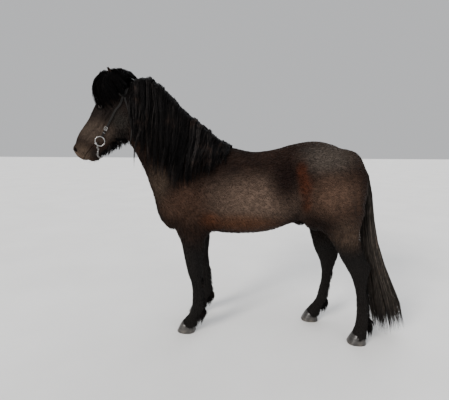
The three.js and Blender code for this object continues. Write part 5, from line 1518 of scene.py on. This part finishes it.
def ear_shape(root, up, opening, edge):
    """Points of both faces of an ear, and its quads."""
    along = np.linspace(-0.12, 0.995, EAR_ROWS)[:, None]
    around = np.linspace(-1, 1, EAR_COLUMNS)
    size = np.interp(along, *zip(*EAR_SIZES))
    phi = around * np.radians(np.interp(along, *zip(*EAR_WRAP)))
    sweep_in = 9 * np.sin(math.pi * np.clip(along, 0, 1)) - 6 * np.maximum(along, 0) ** 2
    wall = EAR["wall"] * (1 - 0.75 * np.abs(around) ** 3)
    leaves = []
    for inset in (0.0, wall):
        wide = np.maximum(EAR["width"] * size - inset, 0.6)
        deep = np.maximum(EAR["depth"] * size - inset, 0.5)
        leaves.append((
            root + up * (along[..., None] * EAR["length"])
            + opening * (sweep_in - deep * np.cos(phi))[..., None]
            + edge * (wide * np.sin(phi))[..., None]
        ).reshape(-1, 3))
    count = EAR_ROWS * EAR_COLUMNS
    index = np.arange(count).reshape(EAR_ROWS, EAR_COLUMNS)
    outer = np.stack([index[:-1, :-1], index[:-1, 1:], index[1:, 1:], index[1:, :-1]], -1).reshape(-1, 4)
    rim = np.concatenate([index[:, 0], index[-1, 1:-1], index[::-1, -1], index[0, -2:0:-1]])
    following = np.roll(rim, -1)
    sides = np.stack([rim, following, following + count, rim + count], 1)[:, ::-1]
    points = np.concatenate(leaves)
    return points, outward(points, np.concatenate([outer, outer[:, ::-1] + count, sides]))


def ear(side, name, material, rng):
    """The skin of an ear and the short coat on both of its faces."""
    root = on_head(EAR["along"], EAR["across"], side * EAR["side"])
    up, opening, edge = ear_axes(side)
    points, quads = ear_shape(root, up, opening, edge)
    fitted(mesh_object(f"ear_skin_{name}", points, quads), material, "coat", f"ear_{name}")
    triangles = split(quads)
    weight = np.linalg.norm(face_vectors(points, triangles), axis=1)
    p, n = sampled(points, triangles, vertex_normals(points, triangles), weight, EAR_TUFTS, rng)
    above = p @ up > root @ up - 4
    p, n = p[above], n[above]
    lie_up = square_to(n, up + 0.3 * edge * np.sign((p - root) @ edge)[:, None])
    lengths = np.where(n @ opening > 0.2, EAR_COAT_INSIDE, EAR_COAT_OUTSIDE) * rng.uniform(0.7, 1.2, len(p))
    coat_piece(f"coat_ear_{name}", *coat_tufts(p, n, lie_up, rng, lengths), unwrapped(p), coat, "coat")


ear_skin = coat_material("ear_skin", False)
ear_rng = np.random.default_rng(77)
for side, name in ((NEAR, "left"), (FAR, "right")):
    ear(side, name, ear_skin, ear_rng)

# Eyes: a moist ball with a level pupil, set in the lids

EYE_RINGS, EYE_AROUND, EYE_BULGE = 24, 40, 0.04
IRIS_SIZE, PUPIL_SIZE = (0.80, 0.66), (0.36, 0.17)
EYE_DARK, PUPIL_BLACK = (0.0060, 0.0048, 0.0044), (0.0015, 0.0015, 0.0025)
IRIS_BROWNS = ((0.0090, 0.0046, 0.0026), (0.0200, 0.0100, 0.0056))
LASHES = 70
LASH_WIDTH = 0.35


def eyeball_shape(centre, long_axis, high, gaze):
    """A ball that bulges a little where it looks."""
    theta = np.linspace(0, math.pi, EYE_RINGS + 1)[:, None, None]
    phi = np.linspace(0, 2 * math.pi, EYE_AROUND, endpoint=False)[:, None]
    size = EYE_RADIUS * (1 + EYE_BULGE * np.exp(-((theta / 0.5) ** 2)))
    level = np.cos(phi) * long_axis + np.sin(phi) * high
    points = centre + size * (np.sin(theta) * level + np.cos(theta) * gaze)
    return lofted(points[1:-1], points[[0, -1], 0])


def turned(direction, at):
    """A direction of the straight horse as it lies in the frame."""
    a, b = to_frame([at, np.asarray(at) + np.asarray(direction)])
    return unit(b - a)


def eye_material(name, centre, long_axis, high_axis):
    g = Graph(name)
    from_centre = g.vector("SUBTRACT", g.place, centre)

    def disc(size):
        """0 at the middle of an oval and 1 on its rim."""
        squares = []
        for axis, share in zip((long_axis, high_axis), size):
            scaled = tuple(axis / (EYE_RADIUS * MM * share))
            step = g.vector("DOT_PRODUCT", from_centre, scaled, output="Value")
            squares.append(g.times(step, step))
        return g.math("ADD", *squares)

    brown = g.mix(g.span(g.noise(900.0, 2.0), 0.35, 0.7), *IRIS_BROWNS)
    colour = g.mix(g.span(disc(IRIS_SIZE), 1.06, 0.94), EYE_DARK, brown)
    colour = g.mix(g.span(disc(PUPIL_SIZE), 1.15, 0.85), colour, PUPIL_BLACK)
    g.set(Base_Color=colour, Roughness=0.08, Specular_IOR_Level=0.3)
    return g.material


def stiff_hairs(name, root, start, out, end_out, length, face, width, along, rng):
    """Single hairs that bend a little from root to tip."""
    paths = smooth_path(np.stack([root, start + out * length * 0.5, start + end_out * length], 1), 5)
    widths = np.tile(width * (1 - 0.6 * np.linspace(0, 1, 5)), (len(root), 1))
    uv = spread_uv(along, rng)
    coat_piece(
        name, *shell(paths, held(face, 5), widths, widths), rng.random(len(root)), uv, lash_material, "coat",
    )


def lashes(name, side, gaze, high, long_axis, rng):
    """Lashes along the rim of the upper lid."""
    place = rng.uniform(-0.85, 0.9, LASHES)
    a, b = place * EYE_OPENING[0], np.sqrt(1 - place ** 2) * EYE_OPENING[1]
    start = on_head(EYE[0] + a - EYE_LEAN * b, EYE[1] + b + EYE_LEAN * a, side * LID_SIDE)
    start = onto_surface(start, rounds=3) - gaze
    out = gaze * 0.8 - high * 0.5 + long_axis * (0.3 * place)[:, None]
    out = unit(out + rng.normal(0, 0.08, (LASHES, 3)))
    length = rng.uniform(9, 16, LASHES)[:, None]
    stiff_hairs(
        name, start - gaze, start, out, out - 0.25 * high, length, np.tile(high, (LASHES, 1)), LASH_WIDTH,
        (place + 1) / 2, rng,
    )


lash_material = hair_material(
    "lash_hair", (0.004, 0.0035, 0.0035), (0.012, 0.011, 0.011), (0.01, 0.007, 0.006), 0.2,
)
for side, name in ((NEAR, "left"), (FAR, "right")):
    centre = on_head(EYE[0], EYE[1], side * (EYE[2] - EYE_SUNK))
    gaze = unit(head_direction(0.14, 0.10, side))
    high = square_to(gaze, head_direction(-EYE_LEAN, 1, 0))
    long_axis = np.cross(high, gaze)
    eyeball = mesh_object(f"eyeball_{name}", *eyeball_shape(centre, long_axis, high, gaze))
    look = eye_material(f"eye_{name}", framed(*centre), turned(long_axis, centre), turned(high, centre))
    fitted(eyeball, look, "eye", f"eye_{name}")
    lashes(f"lashes_{name}", side, gaze, high, long_axis, np.random.default_rng(5))

# Hooves: horn that grows in rings, with bulbs at the heel

HOOF_AROUND = 56
HOOF_LEVELS = np.array([0, 0.02, 0.05, 0.1, 0.18, 0.27, 0.36, 0.46, 0.56, 0.66, 0.76, 0.86, 0.94, 1.0])
HOOF_BEVEL, BEVEL_TOP = 2.5, 0.05
# Half widths at the sole and at the top
HOOF_HALVES = {"fore": (62, 52), "hind": (58, 50)}
HORN_DARK, HORN_PALE = (0.0120, 0.0110, 0.0105), (0.0340, 0.0310, 0.0285)
HORN_WORN, HORN_DUST = (0.060, 0.055, 0.050), (0.120, 0.105, 0.088)


def hoof_shape(name, side, away, toe, heel):
    half_sole, half_top = HOOF_HALVES[name.split("_")[0]]
    front, back = toe + CORONET["setback"], heel - CORONET["heel_in"]
    slope = (CORONET["front"] - CORONET["back"]) / (back - front)
    turn = np.linspace(0, 2 * math.pi, HOOF_AROUND, endpoint=False)
    cos, sin = np.cos(turn), np.sin(turn)
    squarer = (np.abs(cos) ** 2.5 + np.abs(sin) ** 2.5) ** -0.4
    cleft = np.exp(-((sin / 0.22) ** 2)) * (cos > 0) * 9
    rings = []
    for level in HOOF_LEVELS:
        up = max(level - BEVEL_TOP, 0) / (1 - BEVEL_TOP)
        bevel = HOOF_BEVEL * (1 - min(level / BEVEL_TOP, 1))
        start = toe + (front - toe) * up + bevel
        end = heel + (back - heel) * up - bevel
        half = half_sole + (half_top - half_sole) * up - bevel
        ripple = 0.5 * math.sin(level * 34) * (0.1 < level < 0.9) + 0.9 * (level > 0.9)
        x = (start + end) / 2 + ((end - start) / 2 - ripple) * cos * squarer
        x = x - cleft * np.minimum(1, 0.35 + up)
        y = side * away + (half - ripple) * sin * squarer
        rings.append(np.stack([x, y, (CORONET["front"] - (x - front) * slope) * level], 1))
    middle_top = rings[-1].mean(0)
    rings.append(rings[-1] + (middle_top - rings[-1]) * 0.12 + (0, 0, 1.5))
    rings.append((rings[-1] - middle_top) * 0.5 + middle_top)
    return lofted(np.stack(rings), [rings[0].mean(0), middle_top])


def horn_material():
    g = Graph("horn")
    rings = g.noise(1.0, 2.0, 0.5, g.stretched((9, 9, 210)))
    grain = g.noise(1.0, 3.0, 0.6, g.stretched((260, 260, 26)))
    colour = g.mix(g.span(rings, 0.35, 0.7), HORN_DARK, HORN_PALE)
    colour = g.mix(g.times(g.span(grain, 0.5, 0.8), 0.4), colour, HORN_WORN)
    dust = g.times(g.span(g.axis("Z"), 0.045, 0.002), g.span(g.noise(26.0, 4.0, 0.7), 0.36, 0.7))
    colour = g.mix(g.times(dust, 0.6), colour, HORN_DUST)
    g.set(Base_Color=colour, Roughness=0.34, Specular_IOR_Level=0.5)
    g.set(Normal=g.bump(g.math("ADD", rings, grain), 0.5, 0.0015))
    return g.material


horn = horn_material()
for foot in FEET:
    fitted(mesh_object(f"hoof_horn_{foot[0]}", *hoof_shape(*foot)), horn, "horn", f"hoof_{foot[0]}")

# Bridle: leather straps laid over the coat, with steel fittings

STRAP_THICKNESS = 3.2
CROWN = [(-6, -12, -88), (-30, -8, -76), (-48, 2, -50), (-57, 10, -22), (-59, 12, 0)]
CHEEK = [(-12, -11, -86), (55, -28, -95), (100, -24, -98), (170, -26, -92), (256, -24, -76), (330, -17, -70)]
BROWBAND = [(-8, -10, -89), (0, 60, -88), (10, 108, -62), (14, 128, -30), (15, 131, 0)]
THROATLATCH = [
    (-6, -22, -89), (60, -98, -98), (140, -168, -92), (215, -208, -70), (255, -214, -35), (262, -216, 0),
]
CHAIN = [(403, -25, -71), (436, -32, -62), (470, -40, -46), (487, -52, -24), (491, -56, 0)]
RING = {"along": 359, "across": -23, "side": 74, "radius": 33.5, "wire": 3.5}
BIT = (RING["along"] + RING["radius"] * 0.86, RING["across"] + RING["radius"] * 0.51)
BUCKLE = {"along": 250, "across": -24, "side": 76, "half": (12.7, 10.2), "wire": 2.2, "lift": 7.4}
BUCKLE_BAR = {"half": 9, "wire": 1.7}
# Path of the buckle's tongue, along and out of its middle
BUCKLE_TONGUE = {"path": [(0, 0.6), (5, 2.4), (13.5, 2.2)], "wire": 1.3}
KEEPER = {"along": 286, "across": -21, "side": 74, "half": (9.0, 3.4), "wire": 1.5, "lift": 3.8}
# A strap's section: across it in half widths, out of it in half thicknesses
STRAP_SECTION = [
    (-1, 0), (-0.96, 0.7), (-0.8, 1), (0, 1.12), (0.8, 1), (0.96, 0.7), (1, 0), (0.8, -1), (-0.8, -1),
]
LEATHER_BLACKS = ((0.0026, 0.0022, 0.0020), (0.0065, 0.0050, 0.0043))
LEATHER_WORN, LEATHER_STITCH = (0.0110, 0.0085, 0.0070), (0.0200, 0.0170, 0.0145)
STITCH_LENGTH, STITCH_INSET = 0.0022, 2.0
STEEL_TONES = ((0.34, 0.33, 0.32), (0.18, 0.17, 0.16))


def spaced_curve(places, sides, spacing):
    """Evenly spread points of a smooth curve through places given on the head's left side."""
    places = np.array(places, float)
    mirror = places * (1, 1, -1)
    chain_of = {"both": np.concatenate([places, mirror[-2::-1]]), "left": places, "right": mirror}[sides]
    controls = on_head(chain_of[:, 0], chain_of[:, 1], chain_of[:, 2])
    fine = smooth_path(controls[None], 40 * len(controls))[0]
    step = np.linalg.norm(np.diff(fine, axis=0), axis=1)
    far = np.concatenate([[0], np.cumsum(step)])
    at = np.linspace(0, far[-1], max(int(far[-1] / spacing), 4))
    return np.stack([np.interp(at, far, fine[:, c]) for c in range(3)], 1), at


def ribbon(name, spine, normals, at, half_width):
    """A strap with rounded edges; its map runs along and across it, in metres."""
    along = unit(np.gradient(spine, axis=0))
    face = square_to(along, normals)
    edge = np.cross(along, face)
    half_thick = STRAP_THICKNESS / 2
    rings = np.stack([spine + edge * a * half_width + face * b * half_thick for a, b in STRAP_SECTION], 1)
    points, faces = lofted(rings, spine[[0, -1]])
    piece = mesh_object(name, points, faces)
    across = np.array([a for a, _ in STRAP_SECTION]) * half_width
    place = np.stack(np.broadcast_arrays(at[:, None], across[None]), -1).reshape(-1, 2)
    place = np.concatenate([place, [[at[0], 0], [at[-1], 0]]]) * MM
    layer = piece.data.uv_layers.new(name="strap")
    layer.data.foreach_set("uv", place[faces].reshape(-1).astype(np.float32))
    return piece


def leather_material(half_width):
    g = Graph(f"leather_{half_width:g}".replace(".", "_"))
    node = g.node("UVMap")
    node.uv_map = "strap"
    from_middle = g.math("ABSOLUTE", g.axis("Y", node.outputs["UV"]))
    line = (half_width - STITCH_INSET) * MM
    on_line = g.span(g.math("ABSOLUTE", g.math("SUBTRACT", from_middle, line)), 0.0008, 0.0003)
    dash = g.span(g.math("PINGPONG", g.axis("X", node.outputs["UV"]), STITCH_LENGTH), 0.0006, 0.0010)
    stitch = g.times(on_line, dash)
    worn = g.span(from_middle, (half_width - 1.2) * MM, half_width * MM)
    grain = g.noise(520.0, 3.0, 0.6)
    colour = g.mix(g.span(g.noise(90.0, 4.0, 0.6), 0.35, 0.7), *LEATHER_BLACKS)
    colour = g.mix(g.times(worn, 0.5), colour, LEATHER_WORN)
    colour = g.mix(stitch, colour, LEATHER_STITCH)
    g.set(Base_Color=colour, Roughness=0.55, Specular_IOR_Level=0.16)
    g.set(Normal=g.bump(g.math("ADD", g.times(grain, 0.4), g.times(stitch, 1.2)), 0.5, 0.0006))
    return g.material


def steel_material():
    g = Graph("steel")
    rub = g.noise(140.0, 4.0, 0.7)
    colour = g.mix(g.span(g.noise(38.0, 3.0, 0.6), 0.45, 0.75), *STEEL_TONES)
    g.set(Base_Color=colour, Metallic=1.0, Roughness=g.span(rub, 0.3, 0.8, 0.16, 0.42))
    g.set(Normal=g.bump(rub, 0.15, 0.0003))
    return g.material


def evened(values):
    """Each value between the ends averaged with its neighbours."""
    return (values[:-2] + 2 * values[1:-1] + values[2:]) / 4


def strap(name, places, sides, half_width, lift):
    spine, at = spaced_curve(places, sides, STRAP_STEP)
    spine = onto_surface(spine, rounds=5, reach=20)
    normals = normals_at(spine)
    for _ in range(2):
        normals[1:-1] = unit(evened(normals))
    spine = spine + normals * lift
    smooth = spine.copy()
    smooth[1:-1] = evened(spine)
    piece = ribbon(f"strap_{name}", smooth, normals, at, half_width)
    fitted(piece, leather_material(half_width), "strap", f"bridle_{name}")


# Straps: name, places, sides, half width, height of the middle over the skin
STRAP_STEP = 5.0
for one_strap in (
    ("crown", CROWN, "both", 9.0, 3.6), ("browband", BROWBAND, "both", 8.0, 5.6),
    ("throatlatch", THROATLATCH, "both", 5.5, 2.6), ("cheek_left", CHEEK, "left", 7.0, 3.6),
    ("cheek_right", CHEEK, "right", 7.0, 3.6),
):
    strap(*one_strap)


def round_rings(points, first, second, radius, sides):
    """Rings of a round wire, in planes of two directions at each point."""
    turn = np.linspace(0, 2 * math.pi, sides, endpoint=False)[None, :, None]
    radii = np.broadcast_to(np.asarray(radius, float), (len(points),))[:, None, None]
    return points[:, None] + radii * (first[:, None] * np.cos(turn) + second[:, None] * np.sin(turn))


def tube(points, radius, sides, closed=True):
    """A round wire along points: points and triangles."""
    points = np.asarray(points, float)
    if closed:
        along = unit(np.roll(points, -1, 0) - np.roll(points, 1, 0))
    else:
        along = unit(np.gradient(points, axis=0))
    flat = np.linalg.svd(points - points.mean(0))[2][2]
    first = unit(np.cross(along, flat[None]))
    rings = round_rings(points, first, np.cross(along, first), radius, sides)
    return lofted(rings, None if closed else points[[0, -1]])


steel = steel_material()


def metal_piece(name, shapes, *replaced):
    starts = np.cumsum([0] + [len(points) for points, _ in shapes])
    points = np.concatenate([points for points, _ in shapes])
    faces = np.concatenate([faces + start for (_, faces), start in zip(shapes, starts)])
    return fitted(mesh_object(name, points, faces), steel, "steel", *replaced)


def oval(centre, a_axis, b_axis, a, b, count, power=2.0):
    turn = np.linspace(0, 2 * math.pi, count, endpoint=False)
    cos, sin = np.cos(turn), np.sin(turn)
    size = (np.abs(cos) ** power + np.abs(sin) ** power) ** (-1 / power)
    return centre + (a * cos * size)[:, None] * a_axis + (b * sin * size)[:, None] * b_axis


def seat(fitting, side):
    """Where a fitting sits: its middle, and axes out of the skin, along the head and across it."""
    at = onto_surface(on_head(fitting["along"], fitting["across"], side * fitting["side"])[None], rounds=5)
    normal = normals_at(at)[0]
    along = square_to(normal, HEAD_ALONG)
    return at[0] + normal * fitting["lift"], normal, along, np.cross(normal, along)


def buckle(side, name):
    middle, normal, along, across = seat(BUCKLE, side)
    rim = tube(oval(middle, along, across, *BUCKLE["half"], 40, 5.0), BUCKLE["wire"], 10)
    reach = across * BUCKLE_BAR["half"]
    cross_bar = tube([middle - reach, middle + reach], BUCKLE_BAR["wire"], 10, closed=False)
    path = np.array([middle + along * a + normal * b for a, b in BUCKLE_TONGUE["path"]])
    tongue = tube(smooth_path(path[None], 9)[0], BUCKLE_TONGUE["wire"], 8, closed=False)
    metal_piece(f"buckle_{name}", [rim, cross_bar, tongue], f"bridle_buckle_{name}")


def keeper(side, name):
    middle, normal, _, across = seat(KEEPER, side)
    hoop = oval(middle, across, normal, *KEEPER["half"], 28, 4.0)
    metal_piece(f"keeper_{name}", [tube(hoop, KEEPER["wire"], 8)])


for side, name in ((NEAR, "left"), (FAR, "right")):
    centre = on_head(RING["along"], RING["across"], side * RING["side"])
    circle = oval(centre, HEAD_ALONG, HEAD_ACROSS, RING["radius"], RING["radius"], 72)
    metal_piece(f"ring_{name}", [tube(circle, RING["wire"], 16)], f"bit_ring_{name}")
    buckle(side, name)
    keeper(side, name)

# The bit, a bar that swells where the rings pass through it: distance from the middle and radius
BIT_HALF = [
    (0, 6), (20, 6.4), (40, 6.8), (58, 7), (62, 7.2), (67, 8), (72, 8.4), (76, 7.6), (78, 5.6), (79, 3),
]
bar = np.array([(-y, r) for y, r in BIT_HALF[:0:-1]] + BIT_HALF, float)
bar_points = on_head(*BIT, bar[:, 0])
bar_axes = (np.tile(axis, (len(bar), 1)) for axis in (HEAD_ALONG, HEAD_ACROSS))
bar_rings = round_rings(bar_points, *bar_axes, bar[:, 1], 20)
metal_piece("mouthpiece", [lofted(bar_rings, bar_points[[0, -1]])], "bit_mouthpiece")

# The curb chain: links turned by a quarter from one to the next, free of the chin next to the rings
LINK = {"spacing": 8.6, "long": 6.6, "wide": 4.2, "wire": 1.35, "lift": 5.0}


def chain_links():
    spine, _ = spaced_curve(CHAIN, "both", LINK["spacing"])
    settled = onto_surface(spine[2:-2], rounds=5, reach=20)
    spine[2:-2] = settled + normals_at(settled) * LINK["lift"]
    along = unit(np.gradient(spine, axis=0))
    normals = normals_at(spine)
    face = square_to(along, normals)
    edge = np.cross(along, face)
    for i, middle in enumerate(spine):
        wide_axis = unit(edge[i] + face[i] * (1 if i % 2 else -1))
        yield tube(oval(middle, along[i], wide_axis, LINK["long"], LINK["wide"], 20, 2.6), LINK["wire"], 7)


metal_piece("curb_links", list(chain_links()), "curb_chain")

# Feelers round the lips and under the chin
FEELERS = 90
FEELER_WIDTH = 0.33


def feelers(rng):
    t = rng.uniform(440, 560, FEELERS)
    d = rng.uniform(-36, 60, FEELERS)
    y = rng.choice([-1, 1], FEELERS) * rng.uniform(8, 60, FEELERS)
    start = onto_surface(on_head(t, d, y), rounds=5)
    normals = normals_at(start)
    start = start - normals * 3
    out = unit(normals + np.array([0, 0, -0.9]) + rng.normal(0, 0.15, (FEELERS, 3)))
    length = rng.uniform(10, 24, FEELERS)[:, None]
    end_out = out + np.array([0, 0, -0.3])
    stiff_hairs(
        "feelers", start, start, out, end_out, length, normals, FEELER_WIDTH, rng.random(FEELERS), rng,
    )


feelers(np.random.default_rng(61))

# Camera: height, lens and turn as in the picture

CAMERA = (0.0, -2545.0, 1394.0)
CAMERA_FORWARD = (-0.140, 0.990)
CAMERA_PITCH = math.radians(9.25)
FOCAL_PIXELS = 350.0
PICTURE_WIDTH = 449.0
SENSOR = 36.0

camera = bpy.data.cameras.new("camera")
camera.sensor_width = SENSOR
camera.sensor_fit = "HORIZONTAL"
camera.lens = SENSOR * FOCAL_PIXELS / PICTURE_WIDTH
camera.clip_start = 0.05
camera.clip_end = 200
viewer = bpy.data.objects.new("camera", camera)
bpy.context.scene.collection.objects.link(viewer)
viewer.location = framed(*CAMERA)
viewer.rotation_euler = (
    math.pi / 2 - CAMERA_PITCH, 0, math.atan2(-CAMERA_FORWARD[0], CAMERA_FORWARD[1]),
)
bpy.context.scene.camera = viewer


def soft_light(name, at, spread, strength, colour):
    """Even light from one side; spread is the width of the source in degrees."""
    light = bpy.data.lights.new(name, "SUN")
    light.angle = math.radians(spread)
    light.energy = strength
    light.color = colour
    lamp = bpy.data.objects.new(name, light)
    bpy.context.scene.collection.objects.link(lamp)
    lamp.location = at
    x, y, z = at
    lamp.rotation_euler = (math.atan2(math.hypot(x, y), z), 0, math.atan2(-y, -x) - math.pi / 2)


# Lamps: name, place, spread, strength, colour
for lamp in (
    ("key", (-4.4, -6.6, 3.8), 20, 3.9, (1.0, 0.96, 0.91)),
    ("fill", (5.6, -5.4, 2.8), 55, 1.1, (0.96, 0.98, 1.0)),
    ("sky", (0.2, 0.6, 4.6), 90, 1.5, (0.95, 0.97, 1.0)),
    ("rim", (2.4, 5.6, 3.8), 50, 1.0, (0.95, 0.97, 1.0)),
):
    soft_light(*lamp)

STUDIO_COLOUR, STUDIO_STRENGTH = (0.86, 0.87, 0.89, 1), 0.70
world = bpy.data.worlds.new("studio")
world.use_nodes = True
background = world.node_tree.nodes["Background"]
background.inputs["Color"].default_value = STUDIO_COLOUR
background.inputs["Strength"].default_value = STUDIO_STRENGTH
bpy.context.scene.world = world

FLOOR = 30.0
FLOOR_TONES = ((0.66, 0.655, 0.645), (0.70, 0.695, 0.685))
floor_mesh = mesh_object(
    "floor", [(-FLOOR, -FLOOR, 0), (FLOOR, -FLOOR, 0), (FLOOR, FLOOR, 0), (-FLOOR, FLOOR, 0)],
    [(0, 1, 2, 3)], framed=True,
)
g = Graph("pale_floor")
g.set(Base_Color=g.mix(g.span(g.noise(1.3, 4.0), 0.3, 0.7), *FLOOR_TONES), Roughness=0.85)
g.set(Normal=g.bump(g.noise(60.0, 3.0), 0.15, 0.001))
floor_mesh.data.materials.append(g.material)
